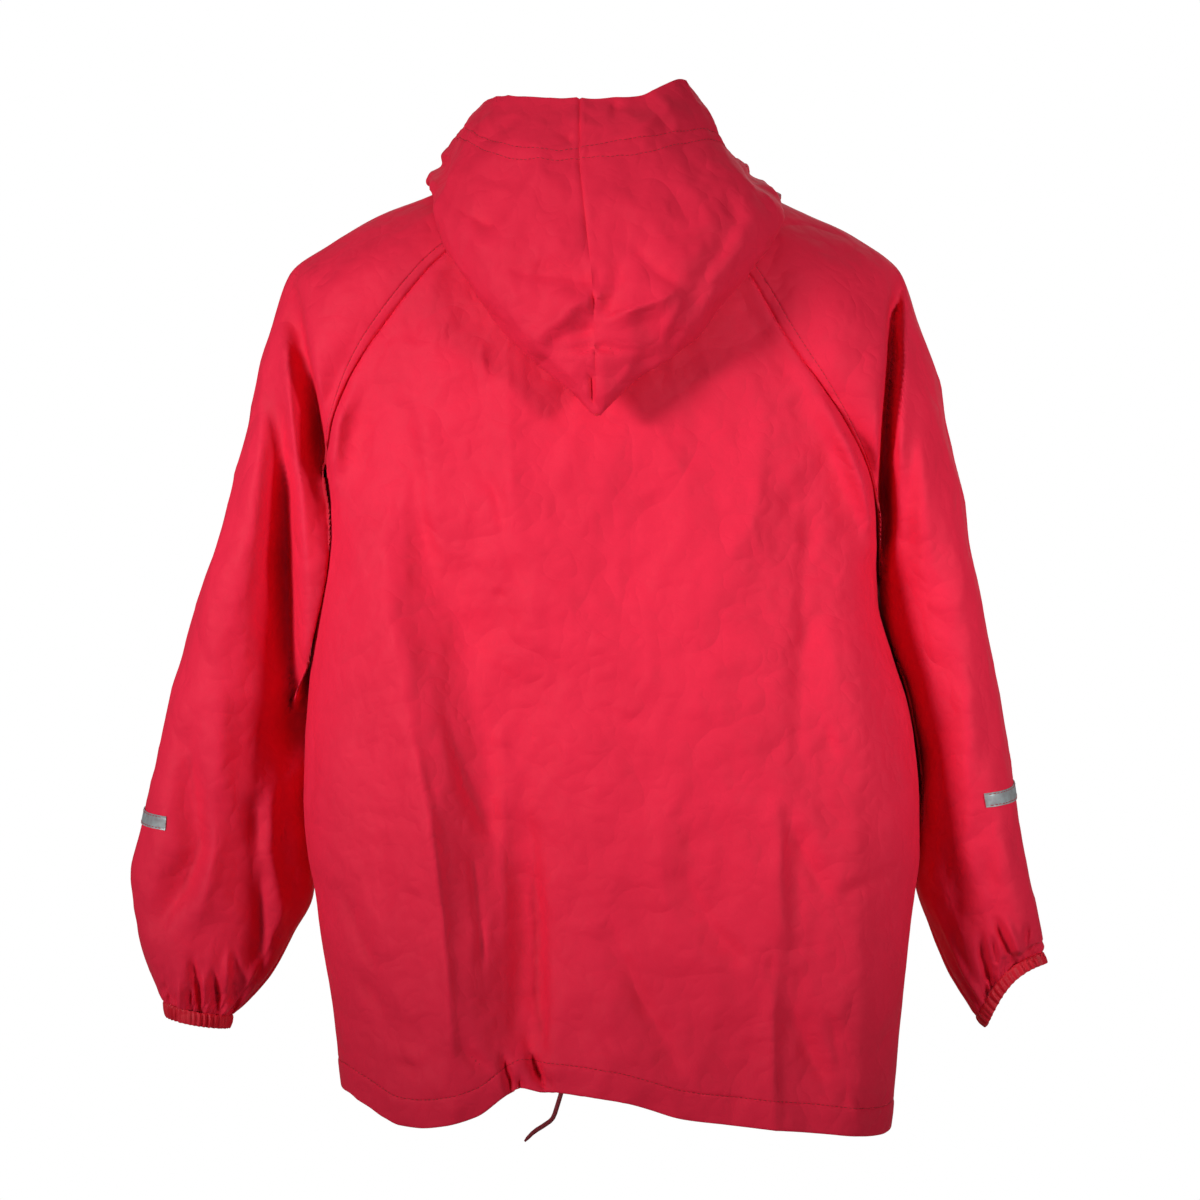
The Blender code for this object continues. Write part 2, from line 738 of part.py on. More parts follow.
def stud(name, middle, outward):
    """A press stud's cap, domed, standing on the flap."""
    rings = ((0, 0.94), (0.9, 1), (1.8, 0.82), (STUD_HEIGHT, 0.4))
    side = np.cross(outward, (0, 0, 1))
    side /= np.linalg.norm(side)
    up = np.cross(side, outward)
    turn = np.linspace(0, 2 * np.pi, STUD_SIDES + 1)[:-1]
    points, faces = [], []
    for height, radius in rings:
        for t in turn:
            around = side * math.cos(t) + up * math.sin(t)
            points.append(middle + outward * height + STUD_RADIUS * radius * around)
    for k in range(len(rings) - 1):
        for i in range(STUD_SIDES):
            a, b = k * STUD_SIDES + i, k * STUD_SIDES + (i + 1) % STUD_SIDES
            faces.append((a, a + STUD_SIDES, b + STUD_SIDES, b))
    faces.append(tuple(range(STUD_SIDES)))
    faces.append(tuple(reversed(range(3 * STUD_SIDES, 4 * STUD_SIDES))))
    made = add_mesh(name, np.array(points), faces, DARK_RED)
    shell = bmesh.new()
    shell.from_mesh(made.data)
    bmesh.ops.recalc_face_normals(shell, faces=shell.faces[:])
    shell.to_mesh(made.data)
    shell.free()


def body_surfaces():
    """The panels of the body, each sleeve's two lengths, and the rows the body was made of."""
    back, left, right = Surface(), Surface(), Surface()
    back_rows = panel([back_row(v) for v in YOKE_LEVELS])
    left_rows = panel([front_row("left", v) for v in YOKE_LEVELS])
    right_rows = panel([front_row("right", v) for v in YOKE_LEVELS])
    walls = [WALL] * (len(back_rows) - 2) + [HEM_WALL] * 2
    back.grid(back_rows, walls)
    left.grid([r[::-1] for r in left_rows], walls)
    right.grid(right_rows, walls)
    sleeves = sleeve_surfaces("left") + sleeve_surfaces("right")
    return [back, left, right] + sleeves, back_rows, left_rows, right_rows


def neckline_ring(back_rows, left_rows, right_rows):
    """The neckline all the way round."""
    left, right = (sleeve_ring(side, 0, SLEEVE_COLUMNS) for side in ("left", "right"))
    parts = (back_rows[0], right, right_rows[0], left_rows[0][::-1], left[::-1])
    return np.concatenate([p[:-1] for p in parts])


def add_cuffs():
    for side in ("left", "right"):
        cuff = cuff_surface(side)
        cuff.faces = [tuple(reversed(f)) for f in cuff.faces]
        thick("cuff_" + side, cuff, common_normals([cuff])[0], RED)


def add_hood(neckline, tree):
    halves = []
    for low, high in ((0, 0.5), (0.5, 1)):
        half = Surface()
        half.grid(hood_rows(neckline, tree, np.linspace(low, high, HOOD_COLUMNS + 1)))
        halves.append(half)
    for name, s, n in zip(("hood_left", "hood_right"), halves, common_normals(halves)):
        thick(name, s, n, RED)


def add_flap(left_rows, right_rows):
    """The storm flap over the front opening, and its press studs."""
    flap = Surface()
    flap_rows = []
    for row, other in zip(left_rows[:-1], right_rows[:-1]):
        whole = np.concatenate([row, other[::-1][1:]])
        x = np.linspace(-FLAP_HALF, FLAP_HALF, 7)
        y, down = (np.interp(x, whole[:, 0], whole[:, k]) for k in (1, 2))
        flap_rows.append(np.stack([x, y, down], axis=1))
    flap_rows[0] = flap_rows[0] * 0.4 + flap_rows[1] * 0.6
    flap.grid([r[::-1] for r in flap_rows], [FLAP_WALL] * len(flap_rows))
    lift = FLAP_LIFT + FLAP_WALL
    thick("storm_flap", flap, common_normals([flap])[0], RED, lift)
    tree = tree_of([flap])
    for i, down in enumerate(STUD_DOWNS):
        where, normal, _, _ = tree.find_nearest(Vector((STUD_X, 130, -down)))
        outward = np.array(normal)
        if outward[1] < 0:
            outward = -outward
        stud(f"press_stud_{i + 1}", np.array(where) + outward * (lift + STUD_GAP), outward)


def add_strip(side, sleeve):
    """A piece of reflective tape round the outer side of a lower sleeve."""
    first, last, start, end, slope = STRIPS[side]
    rows = []
    for v in np.linspace(first, last, 3):
        line = []
        for share in np.linspace(start, end, 19):
            ring = sleeve_ring(side, v + slope * (0.5 - share), 200)
            line.append(evenly(ring, [share])[0])
        rows.append(np.array(line))
    if side == "right":
        rows = [r[::-1] for r in rows]
    strip = Surface()
    strip.grid(rows, [STRIP_WALL] * 3)
    strip.points = list(pushed_out(np.array(strip.points), tree_of([sleeve]), 0.0))
    strip.faces = [tuple(reversed(f)) for f in strip.faces]
    normals = common_normals([strip])[0]
    thick("reflective_strip_" + side, strip, normals, GREY, STRIP_LIFT + STRIP_WALL)


def add_drawstring():
    """The hem drawstring's free end, a round cord with closed ends."""
    curve = bpy.data.curves.new("hem_drawstring", "CURVE")
    curve.dimensions = "3D"
    curve.bevel_depth = DRAWSTRING_WIDTH / 2 * MM
    curve.bevel_resolution = 2
    curve.use_fill_caps = True
    line = smooth_line(DRAWSTRING, np.linspace(0, 1, 15))
    spline = curve.splines.new("POLY")
    spline.points.add(len(line) - 1)
    for point, (x, y, down) in zip(spline.points, line):
        point.co = (x * MM, y * MM, -down * MM, 1)
    curve.materials.append(material("hem_drawstring", DARK_RED))
    bpy.context.scene.collection.objects.link(bpy.data.objects.new("hem_drawstring", curve))


def build():
    for old in list(bpy.data.objects):
        bpy.data.objects.remove(old)
    body, back_rows, left_rows, right_rows = body_surfaces()
    names = ["back", "front_left", "front_right"]
    for side in ("left", "right"):
        names += [f"sleeve_{side}_upper", f"sleeve_{side}_lower"]
    for name, surface, normals in zip(names, body, common_normals(body)):
        thick(name, surface, normals, RED)
    add_cuffs()
    add_hood(neckline_ring(back_rows, left_rows, right_rows), tree_of(body))
    add_flap(left_rows, right_rows)
    add_strip("left", body[4])
    add_strip("right", body[6])
    add_drawstring()


build()
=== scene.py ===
"""Looks of the kids rain jacket: cloth with its folds, seams and sewing, tape, studs and cord.

Metres, +Z up, +Y the wearer's front, +X the wearer's right. The tables are in millimetres.
"down" is the distance below the origin, which is where the shoulders carry the jacket. A fold's
places are x and down as they look from straight behind, at the distance EYE.
"""

import math

import bmesh
import bpy
import numpy as np
from mathutils import Matrix, Vector, noise
from mathutils.bvhtree import BVHTree
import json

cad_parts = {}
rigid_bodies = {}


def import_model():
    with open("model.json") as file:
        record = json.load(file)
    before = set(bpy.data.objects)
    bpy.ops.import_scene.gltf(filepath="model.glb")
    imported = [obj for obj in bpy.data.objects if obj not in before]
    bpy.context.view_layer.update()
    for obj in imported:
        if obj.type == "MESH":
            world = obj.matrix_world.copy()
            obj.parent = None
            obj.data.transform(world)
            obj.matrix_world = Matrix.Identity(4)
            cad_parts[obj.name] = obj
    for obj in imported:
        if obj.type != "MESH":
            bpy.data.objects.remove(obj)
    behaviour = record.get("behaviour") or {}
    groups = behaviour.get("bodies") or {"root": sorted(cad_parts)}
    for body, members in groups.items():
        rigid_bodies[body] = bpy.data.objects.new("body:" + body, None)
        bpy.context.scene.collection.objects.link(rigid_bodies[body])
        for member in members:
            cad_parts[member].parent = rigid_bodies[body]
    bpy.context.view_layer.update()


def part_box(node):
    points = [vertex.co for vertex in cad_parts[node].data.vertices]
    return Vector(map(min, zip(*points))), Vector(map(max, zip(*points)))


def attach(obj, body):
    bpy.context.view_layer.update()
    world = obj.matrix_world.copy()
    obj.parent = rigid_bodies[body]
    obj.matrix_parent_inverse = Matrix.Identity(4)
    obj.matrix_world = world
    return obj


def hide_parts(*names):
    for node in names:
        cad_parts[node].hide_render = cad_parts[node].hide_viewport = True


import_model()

MM = 0.001
EYE = 3200.0
EYE_DOWN = 269.5
PICTURE_WIDTH = 840.0  # what the camera sees at the origin's distance
SENSOR = 36.0

CLOTH = 0.7
HEM_WALL = 2.4
SQUARENESS = 2.6  # 2 is an ellipse, and more is boxier
SLEEVE_CLEAR = 2.5
HOOD_CLEAR = 3.4

BACK_COLUMNS = 230
FRONT_COLUMNS = 120
SLEEVE_COLUMNS = 220
SLEEVE_LEAN = 0.42  # how much closer the columns are behind
CORNER_REACH = 17.0  # how much of the sleeve's line its inner corner draws along
HOOD_COLUMNS = 116
SEAM_STEPS = (0, 0.6, 1.4, 2.8, 4.6, 6.2, 6.9, 7.2, 7.5, 8.4, 10.0)  # columns beside a seam
SEAM_STITCH = 7.2  # from the seam to its topstitch
YOKE_LEVELS = np.linspace(0, 10, 91)
ARM_LEVELS = np.concatenate([np.linspace(10, 17, 85)[1:], np.linspace(17, 18, 14)[1:]])
CUFF_LEVELS = 18 + np.linspace(0, 1, 20)
UNDERARM_ROW = 90
# rows above the hem's edge, with its stitch line 20 mm up
HEM_STITCH = 20.0
HEM_STEPS = (27, 25, 23, 21.6, 20.8, 20.3, 20, 19.7, 19.2, 18.2, 16, 13.5, 11, 8.5, 6, 4.5, 3.2, 2.2, 1.2)
PANEL_ROWS = 104

# down, half-width to the left, to the right, depth to the back, to the front
TORSO = [
    (-40, 80, 80, 52, 40),
    (-20, 100, 100, 73, 58),
    (0, 120, 118, 87, 74),
    (27, 146, 146, 100, 90),
    (60, 168, 170, 109, 102),
    (115, 184, 186, 117, 112),
    (176, 190, 190, 120, 117),
    (227, 192, 192, 120, 119),
    (270, 197, 194, 119, 119),
    (305, 201, 203, 118, 118),
    (340, 204, 214, 116, 117),
    (366, 206, 219, 115, 117),
    (407, 207, 223, 113, 116),
    (445, 204, 223, 111, 115),
    (472, 199, 220, 109, 114),
    (503, 195, 216, 107, 113),
    (552, 187, 211, 104, 112),
    (596, 182, 207, 102, 111),
    (645, 176, 202, 100, 110),
]

# level, centre back down, centre front down: the yoke's rings from the neckline to the underarm
YOKE = [
    (0, -20, 22),
    (1, 4, 40),
    (2, 28, 60),
    (3, 52, 82),
    (4, 78, 106),
    (5, 102, 126),
    (6, 128, 148),
    (7, 156, 172),
    (8, 190, 198),
    (9, 222, 225),
    (10, 252, 252),
]

# level, back seam x, y, down, outermost x, y, down, y behind, y before, front seam y, how much
# lower it is, roundness. Levels past 10 are below the underarm, where both seams are one.
LEFT_SLEEVE = [
    (0, -60, -58, -25, -84, 0, -31, -34, 34, 54, 22, 0),
    (1, -84, -78, 2, -119, 0, -13, -47, 45, 70, 22, 0),
    (2, -106, -88, 27, -152, 0, 0, -57, 54, 82, 20, 0),
    (3, -127, -88, 46, -186, 2, 19, -62, 60, 86, 18, 0),
    (4, -148, -80, 76, -217, 5, 41, -64, 68, 86, 15, 0.1),
    (5, -161, -70, 98, -229, 8, 72, -64, 74, 81, 12, 0.2),
    (6, -173, -56, 122, -239, 9, 106, -62, 78, 74, 8, 0.35),
    (7, -184, -38, 150, -248, 10, 148, -58, 80, 62, 5, 0.5),
    (8, -189, -14, 190, -259, 11, 190, -54, 80, 44, 2, 0.7),
    (9, -191, 2, 225, -270, 12, 226, -51, 78, 28, 0, 0.9),
    (10, -192, 14, 252, -279, 13, 252, -48, 76, 14, 0, 1),
    (11, -197, 38, 308, -296, 26, 308, -32, 92, 38, 0, 1),
    (12, -199, 50, 364, -311, 30, 364, -24, 96, 50, 0, 1),
    (13, -200, 52, 420, -323, 32, 420, -14, 92, 52, 0, 1),
    (14, -203, 48, 476, -333, 34, 470, -6, 84, 48, 0, 1),
    (15, -217, 42, 506, -330, 36, 502, -1, 76, 42, 0, 1),
    (16, -234, 38, 536, -321, 36, 530, 4, 68, 38, 0, 1),
    (17, -252, 36, 556, -312, 36, 546, 10, 61, 36, 0, 1),
    (18, -260, 36, 563, -309, 36, 553, 12, 59, 36, 0, 1),
    (19, -263, 36, 572, -307, 36, 563, 13, 58, 36, 0, 1),
]
RIGHT_SLEEVE = [
    (0, 60, -58, -25, 84, 0, -31, -34, 34, 54, 22, 0),
    (1, 78, -76, 0, 117, 0, -13, -48, 46, 70, 22, 0),
    (2, 93, -90, 26, 146, 0, 1, -60, 56, 84, 20, 0),
    (3, 106, -97, 48, 180, 2, 17, -66, 64, 92, 18, 0),
    (4, 121, -97, 76, 210, 5, 40, -70, 72, 93, 15, 0.1),
    (5, 134, -93, 100, 222, 8, 71, -72, 78, 90, 12, 0.2),
    (6, 148, -84, 122, 236, 9, 106, -71, 82, 82, 8, 0.35),
    (7, 167, -66, 153, 247, 10, 152, -68, 85, 68, 5, 0.5),
    (8, 185, -32, 192, 255, 11, 193, -63, 86, 46, 2, 0.7),
    (9, 192, -6, 223, 260, 12, 227, -59, 86, 28, 0, 0.9),
    (10, 194, 12, 252, 266, 13, 252, -56, 84, 12, 0, 1),
    (11, 195, 38, 308, 277, 24, 308, -46, 92, 38, 0, 1),
    (12, 208, 50, 364, 287, 28, 364, -38, 98, 50, 0, 1),
    (13, 215, 52, 420, 297, 30, 420, -28, 98, 52, 0, 1),
    (14, 224, 46, 474, 308, 32, 470, -18, 94, 46, 0, 1),
    (15, 236, 42, 506, 313, 34, 494, -10, 86, 42, 0, 1),
    (16, 249, 38, 536, 315, 35, 509, -2, 77, 38, 0, 1),
    (17, 261, 36, 556, 314, 36, 512, 8, 67, 36, 0, 1),
    (18, 266, 36, 564, 313, 36, 518, 12, 62, 36, 0, 1),
    (19, 273, 36, 571, 316, 36, 526, 13, 61, 36, 0, 1),
]
# The hood's lines, each a point at 13 places along the neckline from one end over the back
# to the other: x, y, down
NECK_ANGLE = (98, 122, 152, 194, 226, 248, 270, 292, 314, 346, 388, 418, 442)
FOLD_LINE = [
    (-16, 104, 30),
    (-62, 96, 12),
    (-108, 44, -17),
    (-114, -42, -12),
    (-103, -104, 32),
    (-55, -138, 105),
    (-2, -150, 150),
    (57, -140, 104),
    (110, -106, 36),
    (123, -56, 3),
    (108, 40, -17),
    (64, 96, 12),
    (16, 104, 30),
]
MIDDLE_LINE = [
    (-17, 106, 18),
    (-62, 94, -4),
    (-108, 40, -30),
    (-110, -46, -30),
    (-102, -122, 3),
    (-57, -162, 50),
    (-5, -172, 64),
    (51, -166, 48),
    (100, -128, 5),
    (107, -62, -22),
    (102, 34, -20),
    (64, 94, -4),
    (17, 106, 18),
]
STITCH_LINE = [
    (-17, 103, 6),
    (-58, 86, -20),
    (-102, 30, -48),
    (-101, -44, -48),
    (-91, -96, -40),
    (-52, -134, -29),
    (-14, -142, -27),
    (33, -136, -32),
    (75, -104, -43),
    (89, -54, -44),
    (92, 26, -36),
    (60, 86, -20),
    (17, 103, 6),
]
FACE_LINE = [
    (-18, 98, -6),
    (-54, 78, -36),
    (-84, 24, -70),
    (-83, -30, -72),
    (-74, -72, -77),
    (-43, -98, -74),
    (-14, -106, -72),
    (27, -104, -74),
    (58, -84, -88),
    (69, -46, -66),
    (80, 22, -50),
    (54, 78, -36),
    (18, 98, -6),
]

# x and down of the hem from side to side, on the back
HEM_LINE = [
    (-199, 606),
    (-178, 610),
    (-164, 617),
    (-150, 624),
    (-139, 629),
    (-124, 630),
    (-108, 628),
    (-84, 621),
    (-64, 607),
    (-54, 602),
    (-41, 604),
    (-27, 605),
    (14, 611),
    (61, 624),
    (102, 629),
    (150, 634),
    (195, 639),
    (209, 636),
]
FRONT_HEM = 617.0

# How far the middle of the cuff's ring is bent in x and down
CUFF_BEND = {"left": (0, 1), "right": (-8, -6)}

# The drawstring's free end, from where it leaves the hem: x, y, down
DRAWSTRING = [
    (-24, -91, 594),
    (-26, -92, 603),
    (-29, -95, 613),
    (-32, -98, 621),
    (-37, -101, 625),
    (-45, -103, 630),
    (-51, -105, 636),
]
# Folds: width to the left of the line as it is walked downwards, to its right, sharpness (2 is
# soft, less is sharper, more is flatter), then x, down and height along it. A height above 0
# stands out of the cloth.
# the back's broad ridges and hollows
BACK_FORMS = [
    (44, 22, 1.5, (-162, 150, 0), (-156, 230, 10), (-146, 300, 15), (-132, 370, 17), (-119, 450, 17),
        (-109, 530, 15), (-105, 600, 10), (-102, 650, 7)),
    (24, 52, 2, (-122, 200, 0), (-106, 260, -10), (-92, 310, -15), (-78, 370, -17), (-66, 440, -17),
        (-58, 510, -16), (-54, 565, -12), (-52, 600, -5), (-50, 640, -2)),
    (24, 5, 1.7, (-54, 400, 0), (-47, 450, -6), (-44, 500, -11), (-43, 545, -11.5), (-41, 578, -8),
        (-39, 608, 0)),
    (16, 7, 2, (-146, 100, 0), (-138, 140, -4.5), (-130, 185, -5.5), (-124, 230, -5), (-118, 270, 0)),
    (22, 26, 2, (-70, 170, 0), (-56, 240, 2.5), (-40, 320, 3), (-30, 400, 0)),
    (30, 30, 2, (104, 130, 0), (100, 220, 3.5), (90, 320, 4), (84, 420, 0)),
    (26, 22, 2, (30, 420, 0), (42, 480, -3), (62, 560, -4), (74, 640, -2)),
    (18, 8, 1.5, (118, 370, 0), (122, 440, 2.4), (124, 520, 2.6), (122, 600, 2.8), (122, 650, 1.4)),
    (8, 20, 1.7, (136, 400, 0), (139, 460, -1.6), (141, 530, -2), (144, 600, -2), (148, 640, 0)),
    (7, 14, 1.7, (147, 170, 0), (146, 229, -4), (142, 279, -5), (141, 339, -4), (138, 390, 0)),
    (26, 12, 2, (172, 190, 0), (178, 260, 5), (180, 330, 5), (180, 410, 0)),
    (30, 14, 2, (168, 400, 0), (178, 470, 4), (180, 540, 5), (180, 640, 5)),
]
# and its smaller creases
BACK_FOLDS = [
    (8, 3, 1.4, (-134, 355, 0), (-125, 395, 1.6), (-118, 424, 2.2), (-114, 462, 2.2), (-108, 523, 2),
        (-104, 575, 1.6), (-102, 600, 0)),
    (4, 8, 1.5, (-112, 330, 0), (-103, 372, -2.2), (-95, 400, -2.6), (-84, 424, -2.2), (-72, 440, 0)),
    (3, 3.5, 1.5, (-91, 440, 0), (-88.6, 465, -1.8), (-83, 514, -2), (-84, 548, 0)),
    (6, 6, 1.6, (-70, 300, 0), (-68, 420, 1.4), (-66, 530, 1.4), (-65, 600, 0)),
    (5, 6, 1.6, (-84, 165, 0), (-68, 205, -1.2), (-70, 229, -0.9), (-61, 249, -1.1), (-52, 272, 0)),
    (3, 3, 1.6, (-76, 261, 0), (-71, 266, -1.2), (-66, 271, 0)),
    (5, 6, 1.6, (-94, 172, 0), (-75, 193, -1.2), (-64, 238, 0)),
    (4, 4, 1.6, (-84, 82, 0), (-83, 103, 1), (-80, 124, 0)),
    (5, 5, 1.6, (-141, 58, 0), (-134, 78, -1), (-126, 96, 0)),
    (6, 7, 1.5, (-184, 465, 0), (-175, 488, -2.2), (-164, 514, -2.4), (-153, 542, 0)),
    (6, 5, 1.5, (-175, 526, 0), (-162, 546, -2.4), (-150, 566, 0)),
    (4, 5, 1.5, (-150, 583, 0), (-137, 588, 1.6), (-120, 595, 0)),
    (5, 4, 1.5, (-150, 591, 0), (-136, 597, -1.6), (-122, 604, 0)),
    (4, 5, 1.5, (-107, 581, 0), (-90, 591, -1.8), (-73, 602, 0)),
    (12, 6, 1.5, (3, 478, 0), (10, 502, -1.7), (22, 533, -2.3), (37, 563, -2.3), (53, 592, -1.9),
        (64, 612, 0)),
    (4, 5, 1.5, (-4, 568, 0), (6, 582, -1.1), (17, 600, 0)),
    (12, 6, 1.5, (56, 452, 0), (68, 480, -1.8), (82, 503, -2.4), (96, 518, -2.1), (108, 530, 0)),
    (5, 5, 1.6, (58, 425, 0), (62, 438, -0.8), (66, 452, 0)),
    (3, 3, 1.6, (-4, 339, 0), (10, 349, -0.7), (22, 355, -0.7), (33, 359, 0)),
    (4, 4, 1.6, (-9, 334, 0), (0, 356, -0.6), (8, 376, 0)),
    (9, 4, 1.4, (125, 395, 0), (126, 425, 1.4), (128, 466, 1.8), (130, 500, 1.3), (131, 520, 0)),
    (6, 7, 1.5, (130, 424, 0), (142, 448, -1.8), (156, 470, -1.8), (164, 482, 0)),
    (6, 6, 1.5, (158, 483, 0), (182, 470, -1.8), (200, 462, -1.8), (216, 455, 0)),
    (5, 5, 1.5, (186, 504, 0), (202, 494, -1.3), (218, 484, 0)),
    (4, 5, 1.5, (182, 518, 0), (193, 512, -1.1), (204, 506, 0)),
    (1.8, 2.2, 1.6, (120, 512, 0), (120, 526, -1.2), (120, 542, 0)),
    (7, 4, 1.4, (121, 532, 0), (122, 560, 1.5), (123, 600, 1.8), (124, 645, 1.4)),
    (6, 9, 1.5, (126, 545, 0), (141, 576, -2.2), (155, 600, -2.4), (168, 618, 0)),
    (4, 6, 1.5, (159, 553, 0), (165, 578, -1.7), (170, 606, 0)),
    (5, 5, 1.5, (140, 612, 0), (160, 616, -1.3), (182, 617, -1.3), (204, 619, 0)),
    (4, 4, 1.5, (170, 618, 0), (179, 627, 1.1), (188, 636, 0)),
    (6, 5, 1.5, (88, 620, 0), (97, 622, -1.2), (105, 623, 0)),
    (7, 8, 1.6, (132, 178, 0), (135, 206, -1.4), (138, 232, 0)),
    (3, 3, 1.5, (158, 352, 0), (162, 368, -1.2), (165, 382, 0)),
    (3, 3, 1.7, (-70, 584, 0), (-66.8, 596, -3.4), (-64, 607, -4.6), (-62.5, 618, -2.6)),
    (2.6, 2.6, 2, (-58, 601, 0), (-56.6, 610, -3.4), (-56, 618, -2)),
    (3, 3, 1.8, (-51, 582, 0), (-46, 598, -3.2), (-40, 608, -3.2), (-37, 616, -1.4)),
    (2.2, 2.2, 2, (-36, 599, 0), (-34, 609, -2.2), (-32.5, 616, -1.4)),
    (4, 4, 1.8, (-53, 566, 0), (-49, 582, -2.4), (-44, 602, -2.4), (-41, 612, 0)),
]

# the fronts' folds, as they look from straight in front
FRONT_FOLDS = [
    (20, 9, 2, (-152, 190, 0), (-146, 280, 3.4), (-132, 420, 4.0), (-122, 560, 3.4), (-118, 640, 2)),
    (9, 16, 2, (-134, 200, 0), (-124, 300, -4.5), (-108, 420, -5.5), (-98, 540, -5), (-94, 625, -3)),
    (8, 6, 2, (-72, 330, 0), (-66, 430, -3.4), (-60, 540, -4.2), (-58, 622, -2)),
    (6, 6, 2, (-104, 70, 0), (-86, 120, -2), (-80, 170, -1.6), (-84, 220, 0)),
    (6, 7, 2, (-170, 470, 0), (-156, 505, -2.6), (-140, 545, -2.4), (-132, 575, 0)),
    (4, 4, 2, (-110, 575, 0), (-92, 592, -1.8), (-76, 606, 0)),
    (9, 24, 2, (158, 195, 0), (152, 280, 3.2), (138, 420, 4.2), (128, 560, 3.4), (124, 640, 2)),
    (15, 9, 2, (140, 195, 0), (128, 300, -4.2), (112, 430, -5.2), (104, 540, -4.6), (102, 622, -3)),
    (6, 9, 2, (70, 370, 0), (64, 450, -3.0), (58, 540, -4.4), (54, 620, -2.4)),
    (6, 6, 2, (100, 66, 0), (88, 118, -2), (84, 168, -1.6), (88, 214, 0)),
    (7, 6, 2, (178, 455, 0), (160, 495, -2.6), (146, 530, -2.4), (136, 560, 0)),
    (4, 4, 2, (60, 560, 0), (78, 580, -1.8), (96, 600, 0)),
]

# where the sleeves' inner sides have a corner: level, x, y and how fully it is reached
INNER_CORNER = {
    "left": [
        (6.6, -194.5, -60, 0),
        (7.4, -198.5, -52, 0.3),
        (8, -190, -52, 0.9),
        (9, -187, -55, 1),
        (10, -188, -53, 1),
        (11, -196, -43, 0.8),
        (12, -202.5, -30, 0),
        (19, -202.5, -30, 0),
    ],
    "right": [(0, 196, -46, 0), (19, 196, -46, 0)],
}
# the hollows beside the raglan seams behind are filled out along these lines
RAGLAN_FILLS = [
    (8, 9, 2, (-150, 78, 0), (-166, 100, 5), (-176, 120, 13), (-185, 147, 27), (-188, 169, 28),
        (-189, 185, 16), (-189, 205, 0)),
    (9, 8, 2, (135, 100, 0), (150, 122, 5), (163, 143, 13), (174, 163, 20), (185, 190, 28),
        (191, 211, 28), (193, 228, 18), (194, 248, 0)),
]

